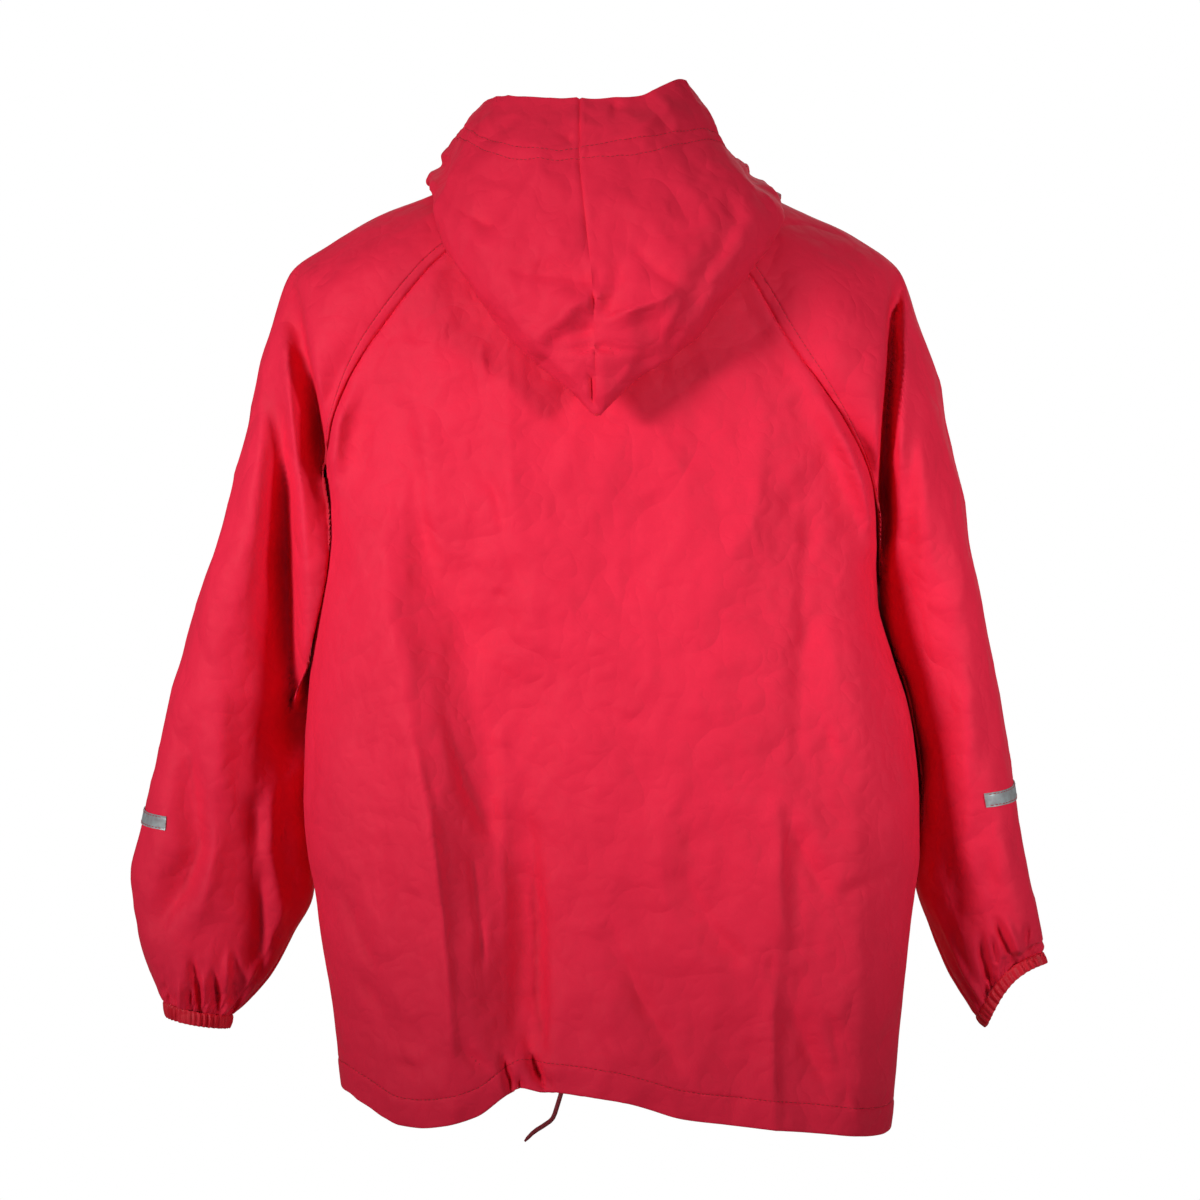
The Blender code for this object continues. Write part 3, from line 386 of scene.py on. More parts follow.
# the sleeves' valleys and ridges, with the larger gathers above the wrists
SLEEVE_FOLDS = {
    "left": [
        (13, 3.4, 2.2, (-219, 40, 0), (-213, 58, -14), (-209, 85, -28), (-206, 104, -36),
            (-202, 124, -40), (-198, 148, -39), (-195, 170, -31), (-193, 188, -20), (-192, 206, -10),
            (-191, 225, -4), (-190, 242, 0)),
        (6, 5, 2, (-222, 70, 0), (-220, 100, 6), (-217, 146, 7), (-210, 193, 4), (-207, 233, 3),
            (-205, 280, 0)),
        (15, 9, 2, (-226, 76, 0), (-226, 115, -11), (-224, 155, -25), (-223, 200, -38),
            (-223, 245, -46), (-221, 300, -47), (-218, 335, -38), (-219, 362, -22), (-221, 383, -8),
            (-222, 398, 0)),
        (8, 9, 2, (-206, 296, 0), (-207, 325, -9), (-208, 354, -9), (-209, 384, -3), (-209, 410, 0)),
        (9, 10, 2, (-241, 100, 0), (-240, 150, 3.7), (-238, 220, 4.1), (-239, 300, 0)),
        (3, 3, 2, (-215, 48, 0), (-214, 55, -2.7), (-213, 63, 0)),
        (4, 4, 2, (-203, 30, 0), (-203, 46, 2.7), (-203, 62, 0)),
        (7, 4, 2, (-226, 388, 0), (-229, 415, 5.1), (-229, 446, 5.4), (-222, 485, 5.1), (-223, 520, 0)),
        (9, 9, 2, (-264, 320, 0), (-264, 350, 3.7), (-264, 400, 3.7), (-265, 424, 0)),
        (9, 9, 1.8, (-266, 415, 0), (-271, 450, 7), (-278, 480, 6), (-284, 505, 0)),
        (15, 9, 1.8, (-281, 340, 0), (-290, 372, -10), (-285, 415, -13), (-281, 445, -13),
            (-292, 470, -12), (-308, 492, -8), (-324, 507, 0)),
        (8, 5, 1.7, (-237, 455, 0), (-238, 486, -9), (-238, 515, -9), (-237, 540, 0)),
        (7, 7, 2, (-243, 395, 0), (-242, 428, -5.1), (-239, 458, 0)),
        (3, 3, 2, (-255, 512, 0), (-256, 532, -5.1), (-257.5, 555, -7.1), (-258, 563, -3.4)),
        (2.5, 2.5, 2, (-260, 508, 0), (-260, 530, 3.7), (-259.5, 553, 3.4)),
        (2.6, 2.6, 2, (-272, 524, 0), (-269.5, 540, -5.4), (-268, 553, -5.4), (-269, 563, -1.7)),
        (2.2, 2.2, 2, (-270, 534, 0), (-267, 548, -4.1), (-272, 558, -2.5)),
        (3.2, 3.2, 2, (-288, 516, 0), (-284, 532, -5.8), (-281.5, 545, -8.5), (-280.5, 556, -8.5),
            (-280, 566, -3.4)),
        (2, 2, 2, (-289, 538, 0), (-287.5, 548, -4.4), (-286.5, 557, -5.1)),
        (1.9, 1.9, 2, (-302, 541, 0), (-301.7, 548, -3.4), (-301, 556, -1.7)),
        (1.9, 1.9, 2, (-297.6, 543, 0), (-297.4, 550, -3.4), (-297, 558, -1.7)),
        (2.2, 2.2, 2, (-278, 528, 0), (-277.6, 540, 3.4), (-277, 554, 2.7)),
        (2.6, 2.6, 2, (-295, 532, 0), (-294.7, 545, 3.4), (-294, 556, 2.4)),
        (2.6, 2.6, 2, (-306, 536, 0), (-305.4, 542, -2.7), (-305, 548, 0)),
        (3, 3, 2, (-257, 520, 0), (-249.5, 538, -5.1), (-254, 552, -4.1), (-258, 561, 0)),
    ],
    "right": [
        (4.6, 5.4, 3, (211, 40, 0), (208.5, 52, -13), (206, 70, -28), (205.2, 100, -36),
            (203.5, 124, -36), (201.8, 150, -35), (200.6, 190, -33), (200, 219, -28), (198, 243, -18),
            (197, 265, -7), (197, 285, 0)),
        (8, 11, 2, (199, 280, 0), (212, 332, -11), (222, 376, -11), (226, 410, -5.1), (228, 440, 0)),
        (9, 9, 2, (232, 90, 0), (230, 140, 3.4), (226, 210, 3.7), (228, 280, 0)),
        (5, 6, 2, (222, 120, 0), (219, 160, -2.7), (217, 215, -3.1), (216, 250, 0)),
        (11, 10, 2, (254, 315, 0), (254.6, 350, 5.1), (254.6, 440, 5.4), (258, 478, 0)),
        (6, 6, 2, (289, 420, 0), (294, 442, -4.4), (301, 462, 0)),
        (8, 7, 2, (272, 330, 0), (274, 365, -4.1), (270, 392, 0)),
        (7, 8, 2, (238, 420, 0), (243, 455, -4.4), (250, 486, -4.4), (258, 505, 0)),
        (6, 6, 2, (276, 438, 0), (272, 462, -3.7), (275, 484, 0)),
        (3, 3, 2, (275, 490, 0), (281, 504, -6.1), (287, 516, -7.5), (290, 524, -3.4)),
        (3, 3, 2, (283, 490, 0), (289, 504, 4.1), (293, 515, 3.4)),
        (3.2, 3.2, 2, (266, 500, 0), (267.5, 520, -7.8), (272, 534, -10.2), (277, 541, -5.1)),
        (2.4, 2.4, 2, (273, 502, 0), (276, 514, -5.1), (278, 524, -3.4)),
        (2.4, 2.4, 2, (300.5, 492, 0), (299.5, 504, -5.1), (298.5, 514, -4.1)),
        (2.4, 2.4, 2, (268, 538, -1.7), (272, 545, -5.1), (277, 552, -2.5)),
    ],
}
# the hood's creases, with the pinch at its tip
HOOD_CREASES = [
    (3, 3.4, 1.5, (-86, -78, 0), (-85.5, -68, -2.6), (-85.5, -56, -1.6), (-85, -44, 0)),
    (4, 4, 1.5, (-80, -78, 0), (-79, -66, 1.6), (-79, -52, 0)),
    (2.6, 2.6, 1.7, (-21.7, -61, 0), (-21.7, -56, -1.2), (-21.7, -50, 0)),
    (6, 6, 1.5, (-108, -10, 0), (-96, -3, -2.4), (-84, 4, -2.6), (-68, 11, 0)),
    (8, 12, 1.7, (-84, 34, 0), (-60, 38, -3), (-38, 41, -4), (-10, 46, -3.6), (4, 51, 0)),
    (8, 6.5, 1.7, (-62, 99, 0), (-42, 85, 2.8), (-19, 64, 3.6), (-5, 57, 2), (5, 54, 0)),
    (7, 7, 1.5, (-46, 99, 0), (-25, 84, -3), (-6, 80, -3), (2, 82, 0)),
    (3, 4, 1.5, (-38, 98, 0), (-12.5, 94, -2.6), (-4.7, 92.6, -2.6), (12, 95, -2), (28, 98, 0)),
    (4, 4, 1.5, (-57, 100, 0), (-34, 117, -1.8), (-22, 121, -1.6), (-6, 113, 0)),
    (7, 7, 1.5, (16, 20, 0), (12, 42, -3.2), (8, 65, -2.6), (6, 76, 0)),
    (6, 7, 1.5, (64, 49, 0), (42, 60, 3.6), (20, 68, 4.2), (-2, 74, 0)),
    (6, 6, 1.5, (14, 12, 0), (30, 28, -2.4), (45, 42, -2.8), (64, 54, 0)),
    (6, 6, 1.5, (62, 50, 0), (52, 70, 2.6), (40, 92, 0)),
    (2.6, 2.6, 2, (-6, 106, 0), (-6, 118, -3.4), (-5.4, 132, -5), (-4, 146, -3)),
    (9, 9, 1.7, (111, -30, 0), (104, 5, 1.6), (100, 24, 2), (83, 43, 2), (68, 73, 1.8), (52, 96, 0)),
    (9, 9, 1.7, (96, -20, 0), (94, 4, -1.8), (88, 22, -2.4), (74, 40, -2), (62, 64, 0)),
    (6, 5, 1.5, (12, -55, 0), (33.5, -66, 2.6), (46, -74, 2.6), (56, -82, 0)),
    (4, 4, 1.5, (12, -84, 0), (11, -76, -2.8), (9, -62, 0)),
    (3, 3, 1.5, (66, -37, 0), (72, -34, -1.1), (78, -31, 0)),
    (14, 12, 1.5, (-98, 30, 0), (-72, 62, 2.4), (-46, 92, 2.4), (-30, 112, 0)),
]
# x and down of the hood's two rows of stitches behind
HOOD_STITCHES = {
    "upper": ((-97, -61.5), (-89, -57.4), (-72.7, -50.5), (-49.5, -47), (-28.6, -45.6), (-14.7, -48),
        (7, -51.6), (24, -53.4), (37, -54.5), (53, -58.6), (72, -62)),
    "lower": ((-100.6, -55), (-84.4, -45.8), (-72.7, -42.3), (-55.3, -39.4), (-38, -38.6), (-16, -40),
        (2.7, -41.8), (25, -42), (37, -43), (50, -48), (58, -50.6), (80, -54)),
}

# The tapes: first and last level, start and end share of the way round, slope in levels
STRIPS = {"left": (12.93, 13.11, 0.378, 0.78, 0.7), "right": (12.57, 12.75, 0.315, 0.74, 0.7)}
FLAP_HALF = 24.0
FLAP_LIFT = 0.5
FLAP_WALL = 1.2
STUD_RADIUS = 6.5

STITCH_PITCH = 3.3
STITCH_LENGTH = 2.4
STITCH_RADIUS = 0.3

SLEEVE_LEVELS = np.concatenate([YOKE_LEVELS, ARM_LEVELS])

# How many places a line has while it is worked out: the back's, a front's, a quarter sleeve's
BACK_FINE = 480
FRONT_FINE = 240
SLEEVE_FINE = 90
# The sleeve's outline: the points behind and before are between the seam and the outermost one
SEAM_SHARE = 0.42
OUTER_SHARE = 0.58
CURVE_FLAT = 0.52  # how far its curves reach where its ends are apart
CURVE_ROUND = 0.28  # and how much more where it is a full tube
CLEAR_LEVEL = 7  # from this level on the sleeve is kept clear of the body
BEND_LEVELS = (15, 18)  # between these the cuff's bend comes in

# Shallow waves all over the cloth: height, length
CRUMPLES = ((0.55, 46), (0.26, 19), (0.10, 7.5))
# Papery creases: height, length across, length upright, where the pattern starts
CREASES = ((8.0, 62, 100, 0), (2.8, 24, 34, 9))
FACING = (0.08, 0.5)  # a fold starts and is full where the cloth faces the viewer so much
FILLED = (15, -25)  # the raglan fills come in between these places, from front to back
HEM_FADE = 12  # how soon the waved hem is level in front
SEAM_CLEAR_SHARE = 0.3  # of the distance from a seam, the sleeve's clearance there
ELSEWHERE = 400  # moves a piece to another place of the crumpling
INSIDE = (0, 0, -300)  # a point within the body
BODY_SIDE = 196  # the body's creases fade out towards this distance from the middle
ARM_BEYOND = (206, 245)  # the sleeve's creases come in between these
FLAP_FLAT = (18, 45)  # and the fronts' folds between these, beside the flap
SLEEVE_CREASED = 0.6
HOOD_CREASED = 0.9
HOOD_CRUMPLED = 1.1
HOOD_FINER = 1.2  # the hood's creases are this much closer together
BACK_STRENGTH = 2.2  # how strongly the tables' folds are taken, behind, in front and on the hood
FRONT_STRENGTH = 1.3
HOOD_STRENGTH = 1.6
# The sleeves' folds go on round their front, wider, lower and shallower
ROUND_WIDER = 1.4
ROUND_LOWER = 9
ROUND_SHALLOWER = 0.5

# How the cloth lies beside its seams and stitch lines: distances or levels, and heights there
SEAM_BODY = ((0, 0.6, 1.4, 2.8, 4.6), (-1.0, -0.6, -0.1, 0.03, 0))
SEAM_SLEEVE = (
    (0, 0.6, 1.4, 2.8, 4.6, 6.2, 6.9, 7.2, 7.5, 8.4, 10, 13),
    (-1.0, -0.3, 0.25, 0.4, 0.42, 0.36, 0.1, -0.2, 0.1, 0.25, 0.1, 0),
)
SEAM_PLAIN = ((0, 0.6, 1.4, 2.8), (-0.6, -0.25, -0.03, 0))
HEM_PROFILE = (
    (0, 2, 12, 18, 19.2, 20, 20.8, 22, 60),
    (0.1, 0.5, 0.75, 0.6, 0.2, -0.25, 0.05, 0.05, 0),
)
# the wall at these heights above the hem's edge, as numbers below 0
HEM_WALLS = ((-22, -20, -18, 0), (CLOTH, 1.4, HEM_WALL, HEM_WALL))
SLEEVE_END = ((17.5, 17.8, 17.93, 18), (0, 0.1, -0.1, -0.5))
CASING = ((18, 18.07, 18.16, 18.6, 18.9, 19), (-0.5, 0.1, 0.5, 0.7, 0.5, 0.3))
# How stitches pull at the cloth beside them: height, width, how much finer than the crumpling
SEAM_PULL = (0.55, 4.5, 7.0)
HEM_PULL = (0.5, 7.0, 6.0)
HOOD_PULL = (0.35, 4.0, 6.0)

# The gathers round the wrist: waves in a turn, how much the drift moves them, their start, the
# levels and heights there, then the swell: its middle, its swing, swings in a turn, their start
GATHERS = [
    (38, 1, 0, (16.2, 16.9, 17.6, 18, 18.1, 18.5, 19),
        (0, 0.35, 0.75, 0.7, 0.7, 1.15, 1.0), 0.8, 0.35, 5, 2),
    (19, 1.4, 1, (14.9, 15.8, 16.8, 17.6, 18.1), (0, 0.6, 1.1, 0.8, 0.2), 0.7, 0.4, 4, 0),
    (9, 1.8, 2, (13.9, 15.2, 16.4, 17.5, 18.0), (0, 1.0, 1.3, 0.7, 0.1), 0.7, 0.4, 2, 1),
]
# and their drift: size, waves in a turn, start
GATHER_DRIFT = ((0.9, 3, 1), (0.6, 7, 2), (0.35, 11, 0))

# The hood rolls over the neckline: how far out and up at the roll's foot and at its top
ROLL_FOOT = (4, 6)
ROLL_TOP = (12, 4)
LINING_ROWS = (0.25, 0.5, 0.75, 0.92)  # shares of the way from the roll to the fold
OUTSIDE_ROWS = (0.12, 0.35, 0.68)  # and from the fold to the middle line
FOLD_THICK = 5
HOOD_BELLY = 6
# The fold is drawn up on both sides of its lowest point: where that is, how far off, how high
TIP_X = -2
TIP_WIDTH = 24.0
TIP_RISE = 13.0
FOLD_ROW = 7  # of the hood's key rows, the fold at its lower edge
HOOD_LOW_ROWS = 34
HOOD_HIGH_ROWS = 78
HOOD_EDGE_ROWS = 50
HOOD_EDGE = 62.0  # the stretch beside the face edge that has the close rows
# Depth or height and width of the hood's middle seam, of the ridge beside it and of a stitch row
HOOD_SEAM = (1.3, 1.1)
HOOD_RIDGE = (0.25, 1.8)
HOOD_ALLOWANCE = 3.2  # from the seam to the ridge
HOOD_DENT = (0.4, 0.9)
HOOD_CASING = 0.35  # how far the cloth between the two stitch rows stands out
HOOD_STITCHED_FROM = 20  # the stitch lines are further beyond the fold than this

# Beside each edge of the flap: distances, and heights with its two rows of stitches
FLAP_STEPS = np.array((0, 0.7, 1.5, 2.0, 2.5, 3.5, 5, 6.4, 7.0, 7.6, 9))
FLAP_PROFILE = (-0.4, -0.05, 0.0, -0.25, 0, 0.15, 0.12, 0, -0.25, 0, 0.1)
FLAP_MIDDLE = np.linspace(-13, 13, 27)
FLAP_FIRST_ROW = 6
FLAP_BOW = 0.5
FLAP_CRUMPLED = 0.7
TAPE_ROWS = 19
TAPE_COLUMNS = 141
TAPE_LIFT = 0.95
TAPE_WALL = 0.45
TAPE_STITCHES = ((0.12, 2), (0.88, 16))  # share of the tape's height, and the row there
TAPE_DENT = (0.2, 0.04)
CUFF_WALL = 1.3
HOOD_RIM_WALL = 1.8
HOOD_RIM_ROWS = 6
CURL_TURNS = (28, 56, 90)  # degrees that the extra rows of a rounded edge are turned in

STUD_DEPTH = 2.2
STUD_LIFT = 1.3
STUD_ROUNDING = 0.35
# the stud's turned face from its rim inwards: how far in, how far up
STUD_FACE = ((1.1, 0.25), (0.5, -0.45), (0.9, -0.12), (1.1, 0.5), (1.2, 0.22))
CORD_RADIUS = 1.6
CORD_POINTS = 15
CORD_TAPER = ((0, 0.8, 0.93, 1), (1, 1, 0.8, 0.45))
STITCH_LIFT = 0.12
STITCH_SINK = 0.25  # how deep its ends are in the cloth

# lighter and darker colour, roughness
CLOTHS = {
    "coated_red": ((0.85, 0.013, 0.055, 1), (0.79, 0.011, 0.049, 1), 0.74),
    "cloth_inside": ((0.60, 0.012, 0.034, 1), (0.52, 0.010, 0.03, 1), 0.72),
    "coated_red_cuff": ((0.74, 0.010, 0.032, 1), (0.66, 0.009, 0.028, 1), 0.52),
}
SPECKLE = (0.9, 0.86, 0.86, 1)
WEAVE_PITCH = 0.55
TAPE_WEAVE_PITCH = 0.9
TAPE_GREYS = ((0.40, 0.45, 0.46, 1), (0.27, 0.25, 0.26, 1))
THREAD_REDS = ((0.50, 0.012, 0.028, 1), (0.36, 0.008, 0.02, 1))
STUD_REDS = ((0.27, 0.008, 0.018, 1), (0.34, 0.016, 0.028, 1))
CORD_REDS = ((0.26, 0.008, 0.018, 1), (0.15, 0.005, 0.012, 1))
FLOOR_WHITES = ((0.82, 0.82, 0.82, 1), (0.79, 0.79, 0.79, 1))

FLOOR = -0.95
FLOOR_RADIUS = 1.9
WORLD_LIGHT = 0.085
MIDDLE = (0, 0, -0.27)
# Area lights in metres, watts and degrees: place, target, width, height, power, spread
LIGHTS = {
    "key": ((-2.3, -2.1, 0.2), (-0.08, 0, -0.21), 1.2, 0.35, 2.6, 25),
    "second": ((2.1, -2.1, -0.1), (0.27, 0, -0.23), 0.8, 0.5, 1.2, 21),
    "top": ((0, -0.3, 2.2), MIDDLE, 1.4, 1.4, 6.0, 180),
    "front_side": ((0.4, 2.6, 0.9), MIDDLE, 2.0, 2.0, 26.0, 180),
}


def hermite(t, start, end, leaving, arriving):
    """Points at shares t of a smooth curve with these ends, and these slopes at them."""
    return (
        (2 * t**3 - 3 * t**2 + 1) * start
        + (t**3 - 2 * t**2 + t) * leaving
        + (3 * t**2 - 2 * t**3) * end
        + (t**3 - t**2) * arriving
    )


def interpolated(at, knots, values):
    """The points of values at these places between the knots."""
    return np.stack([np.interp(at, knots, values[:, k]) for k in range(3)], axis=-1)


def in_scene(name, data):
    """A new object of the scene with this mesh, curve, light or camera."""
    made = bpy.data.objects.new(name, data)
    bpy.context.scene.collection.objects.link(made)
    return made


def table(rows, at):
    """The rows' columns at these values of the first one, smooth and with no overshoot."""
    rows = np.array(rows, float)
    x, y = rows[:, 0], rows[:, 1:]
    step = np.diff(x)[:, None]
    slope = np.diff(y, axis=0) / step
    tangent = np.zeros_like(y)
    product = slope[:-1] * slope[1:]
    total = slope[:-1] + slope[1:]
    total[total == 0] = 1
    tangent[1:-1] = np.where(product > 0, 2 * product / total, 0)
    tangent[0] = slope[0]
    tangent[-1] = slope[-1]
    at = np.clip(np.atleast_1d(np.asarray(at, float)), x[0], x[-1])
    i = np.clip(np.searchsorted(x, at, side="right") - 1, 0, len(step) - 1)
    h = step[i]
    t = ((at - x[i]) / h[:, 0])[:, None]
    return hermite(t, y[i], y[i + 1], h * tangent[i], h * tangent[i + 1])


def spread(low, high, value):
    """0 below low, 1 above high and smooth between."""
    t = np.clip((value - low) / (high - low), 0, 1)
    return t * t * (3 - 2 * t)


def on_torso(angle, down):
    """Points of the body's surface."""
    r = torso(angle, down)
    return np.stack([r * np.cos(angle), r * np.sin(angle), down + 0 * r], axis=1)


def hem_down(x, y):
    """How far down the hem is, level in front and waved behind."""
    behind = table(HEM_LINE, x)[:, 0]
    return np.where(y < 0, behind, FRONT_HEM + (behind - FRONT_HEM) * np.exp(-y / HEM_FADE))


def seam_point(x, y, down):
    """A point put on the body's surface."""
    return on_torso(np.array([math.atan2(y, x)]), np.array([float(down)]))[0]


def sleeve_row(side, level):
    """The sleeve's table at this level."""
    return table(LEFT_SLEEVE if side == "left" else RIGHT_SLEEVE, level)[0]


def raglan(side, level):
    """The two seam points of the sleeve at this level, back then front."""
    row = sleeve_row(side, level)
    return seam_point(row[0], row[1], row[2]), seam_point(row[0], row[8], row[2] + row[9])


def smooth_line(points, shares):
    """A smooth line through the points, at these shares of the way."""
    y = np.array(points, float)
    last = len(y) - 1
    at = np.asarray(shares) * last
    i = np.clip(at.astype(int), 0, last - 1)
    before, after = y[np.maximum(i - 1, 0)], y[np.minimum(i + 2, last)]
    leaving, arriving = (y[i + 1] - before) / 2, (after - y[i]) / 2
    return hermite((at - i)[:, None], y[i], y[i + 1], leaving, arriving)


def torso(angle, down):
    """How far out the body's surface is at this angle, counted from +X towards +Y."""
    left, right, back, front = table(TORSO, down).T
    c, s = np.cos(angle), np.sin(angle)
    wide = np.where(c < 0, left, right)
    deep = np.where(s < 0, back, front)
    return (np.abs(c / wide) ** SQUARENESS + np.abs(s / deep) ** SQUARENESS) ** (-1 / SQUARENESS)


def along(points):
    """Distances along a line, from its start."""
    return np.concatenate([[0], np.cumsum(np.linalg.norm(np.diff(points, axis=0), axis=1))])


def on_line(points, at):
    """Points at these distances along a line."""
    return interpolated(at, along(points), points)


def columns(points, count, lean=0.0):
    """The line's points, close beside its end seams, and their places; a lean packs its start."""
    length = along(points)[-1]
    near = np.array(SEAM_STEPS)
    share = np.linspace(0, 1, count + 3 - 2 * len(near))
    share = share + lean * (share * share - share)
    middle = near[-1] + share * (length - 2 * near[-1])
    at = np.concatenate([near[:-1], middle, length - near[-2::-1]])
    return on_line(points, at), at


def back_line(level):
    """From the left sleeve's back seam round the back to the right one's."""
    left, right = raglan("left", level)[0], raglan("right", level)[0]
    first = math.atan2(left[1], left[0]) % (2 * math.pi)
    last = math.atan2(right[1], right[0]) % (2 * math.pi)
    if last < math.pi:
        last += 2 * math.pi
    fine = np.linspace(0, 1, BACK_FINE)
    down = left[2] + (right[2] - left[2]) * fine
    down += (table(YOKE, level)[0, 0] - (left[2] + right[2]) / 2) * np.sin(np.pi * fine)
    line = on_torso(first + (last - first) * fine, down)
    line[0], line[-1] = left, right
    return line


def front_line(side, level):
    """From the sleeve's front seam to the centre front."""
    seam = raglan(side, level)[1]
    down = table(YOKE, level)[0, 1]
    centre = on_torso(np.array([math.pi / 2]), np.array([down]))[0]
    centre[0] = 0
    first = math.atan2(seam[1], seam[0])
    fine = np.linspace(0, 1, FRONT_FINE)
    down = seam[2] + (down - seam[2]) * np.sin(np.pi / 2 * fine)
    line = on_torso(first + (math.pi / 2 - first) * fine, down)
    line[0], line[-1] = seam, centre
    return line


def lowered(line, share, lift):
    """The underarm line carried down towards the hem, by a share and up again by a lift."""
    angle = np.arctan2(line[:, 1], line[:, 0])
    down = line[:, 2]
    for _ in range(4):
        r = torso(angle, down)
        low = hem_down(r * np.cos(angle), r * np.sin(angle))
        down = line[:, 2] + (low - line[:, 2]) * share - lift
    points = on_torso(angle, down)
    points[np.abs(line[:, 0]) < 1e-6, 0] = 0
    return points


def panel(line_at, count):
    """A body panel's rows from the neckline to the hem, and each point's place along its row."""
    lines = [line_at(level) for level in YOKE_LEVELS]
    under = lines[-1]
    length = FRONT_HEM - under[0, 2]
    last = 1 - HEM_STEPS[0] / length
    lines += [lowered(under, share, 0) for share in np.linspace(0, last, PANEL_ROWS + 1)[1:-1]]
    lines += [lowered(under, 1, step) for step in HEM_STEPS]
    made = [columns(line, count) for line in lines]
    return np.array([m[0] for m in made]), np.array([m[1] for m in made])


def sleeve_line(side, level):
    """A dense line round the sleeve from its back seam over its outer side to its front seam."""
    row = sleeve_row(side, level)
    back, front = raglan(side, level) if level <= 10 else (row[:3].copy(), row[:3].copy())
    outer = row[3:6]
    behind = back * SEAM_SHARE + outer * OUTER_SHARE
    before = front * SEAM_SHARE + outer * OUTER_SHARE
    behind[1], before[1] = row[6], row[7]
    bend = np.array(CUFF_BEND[side]) * float(spread(*BEND_LEVELS, level))
    behind[[0, 2]] += bend
    before[[0, 2]] += bend
    roundness = row[10]
    reach = CURVE_FLAT + CURVE_ROUND * roundness
    knots = [back, behind, outer, before, front]
    slopes = [None, (outer - back) * reach, (before - behind) * reach, (front - outer) * reach, None]
    free_start = 1.5 * (behind - back) - 0.5 * slopes[1]
    free_end = 1.5 * (front - before) - 0.5 * slopes[3]
    wrap = (behind - before) * reach
    slopes[0] = free_start * (1 - roundness) + wrap * roundness
    slopes[4] = free_end * (1 - roundness) + wrap * roundness
    t = np.linspace(0, 1, SLEEVE_FINE)[:, None]
    parts = [hermite(t, *four) for four in zip(knots[:-1], knots[1:], slopes[:-1], slopes[1:])]
    line = np.concatenate([p[:-1] for p in parts] + [parts[-1][-1:]])
    line = pulled(line, side, level)
    return cleared(line, side, level) if level > CLEAR_LEVEL else line


def pulled(line, side, level):
    """The line drawn out to the sleeve's inner corner, where it has one."""
    x, y, strength = table(INNER_CORNER[side], level)[0]
    if strength < 0.02:
        return line
    start = line[: len(line) // 3]
    nearest = np.argmin(np.hypot(start[:, 0] - x, start[:, 1] - y))
    gone = along(line)
    pull = bell(gone - gone[nearest], spread(0, 9, gone) * strength, CORNER_REACH)
    shift = np.array([x - line[nearest, 0], y - line[nearest, 1], 0])
    return line + pull[:, None] * shift


def cleared(line, side, level):
    """The line kept out of the body's side by the clearance, which is less beside a seam."""
    angle = np.arctan2(line[:, 1], line[:, 0])
    reach = np.hypot(line[:, 0], line[:, 1])
    room = np.full(len(line), SLEEVE_CLEAR)
    for seam in raglan(side, min(level, 10)):
        room = np.minimum(room, SEAM_CLEAR_SHARE * np.linalg.norm(line - seam, axis=1))
    grow = np.maximum(reach, torso(angle, line[:, 2]) + room) / reach
    return line * np.stack([grow, grow, np.ones(len(line))], axis=1)


def tube(side, levels):
    """A sleeve's rows at these levels, and each point's place along its row."""
    made = [columns(sleeve_line(side, level), SLEEVE_COLUMNS, SLEEVE_LEAN) for level in levels]
    return np.array([m[0] for m in made]), np.array([m[1] for m in made])


def seen(points):
    """x and down of points, as they look from straight behind."""
    nearer = EYE / (EYE + points[..., 1])
    return points[..., 0] * nearer, EYE_DOWN - (points[..., 2] + EYE_DOWN) * nearer


def fold_heights(x, down, folds):
    """How far the folds move the cloth at these places."""
    total = np.zeros(x.shape)
    for left, right, sharpness, *line in folds:
        line = np.array(line, float)
        reach = 3 * max(left, right)
        low, high = line.min(axis=0) - reach, line.max(axis=0) + reach
        near = (x > low[0]) & (x < high[0]) & (down > low[1]) & (down < high[1])
        px, pd = x[near], down[near]
        best = np.full(px.shape, 1e9)
        width = np.ones(px.shape)
        height = np.zeros(px.shape)
        for a, b in zip(line[:-1], line[1:]):
            ux, ud = b[:2] - a[:2]
            t = np.clip(((px - a[0]) * ux + (pd - a[1]) * ud) / (ux * ux + ud * ud), 0, 1)
            ox, od = px - a[0] - t * ux, pd - a[1] - t * ud
            away = np.hypot(ox, od)
            closer = away < best
            best = np.where(closer, away, best)
            width = np.where(closer, np.where(od * ux - ox * ud > 0, left, right), width)
            height = np.where(closer, a[2] + (b[2] - a[2]) * spread(0, 1, t), height)
        total[near] += height * np.exp(-((best / width) ** sharpness))
    return total


def grid_normals(grid, weld=None):
    """One normal at each point of a grid, whose ends meet from the row weld on."""
    across = np.gradient(grid, axis=1)
    if weld is not None:
        wrapped = (grid[weld:, 1] - grid[weld:, -2]) / 2
        across[weld:, 0] = wrapped
        across[weld:, -1] = wrapped
    normals = np.cross(np.gradient(grid, axis=0), across)
    return normals / np.maximum(np.linalg.norm(normals, axis=2), 1e-9)[..., None]


def row_knots(rows):
    """How far each row is from the first one, on average."""
    gaps = np.linalg.norm(np.diff(rows, axis=0), axis=2).mean(axis=1)
    return np.concatenate([[0], np.cumsum(gaps)])


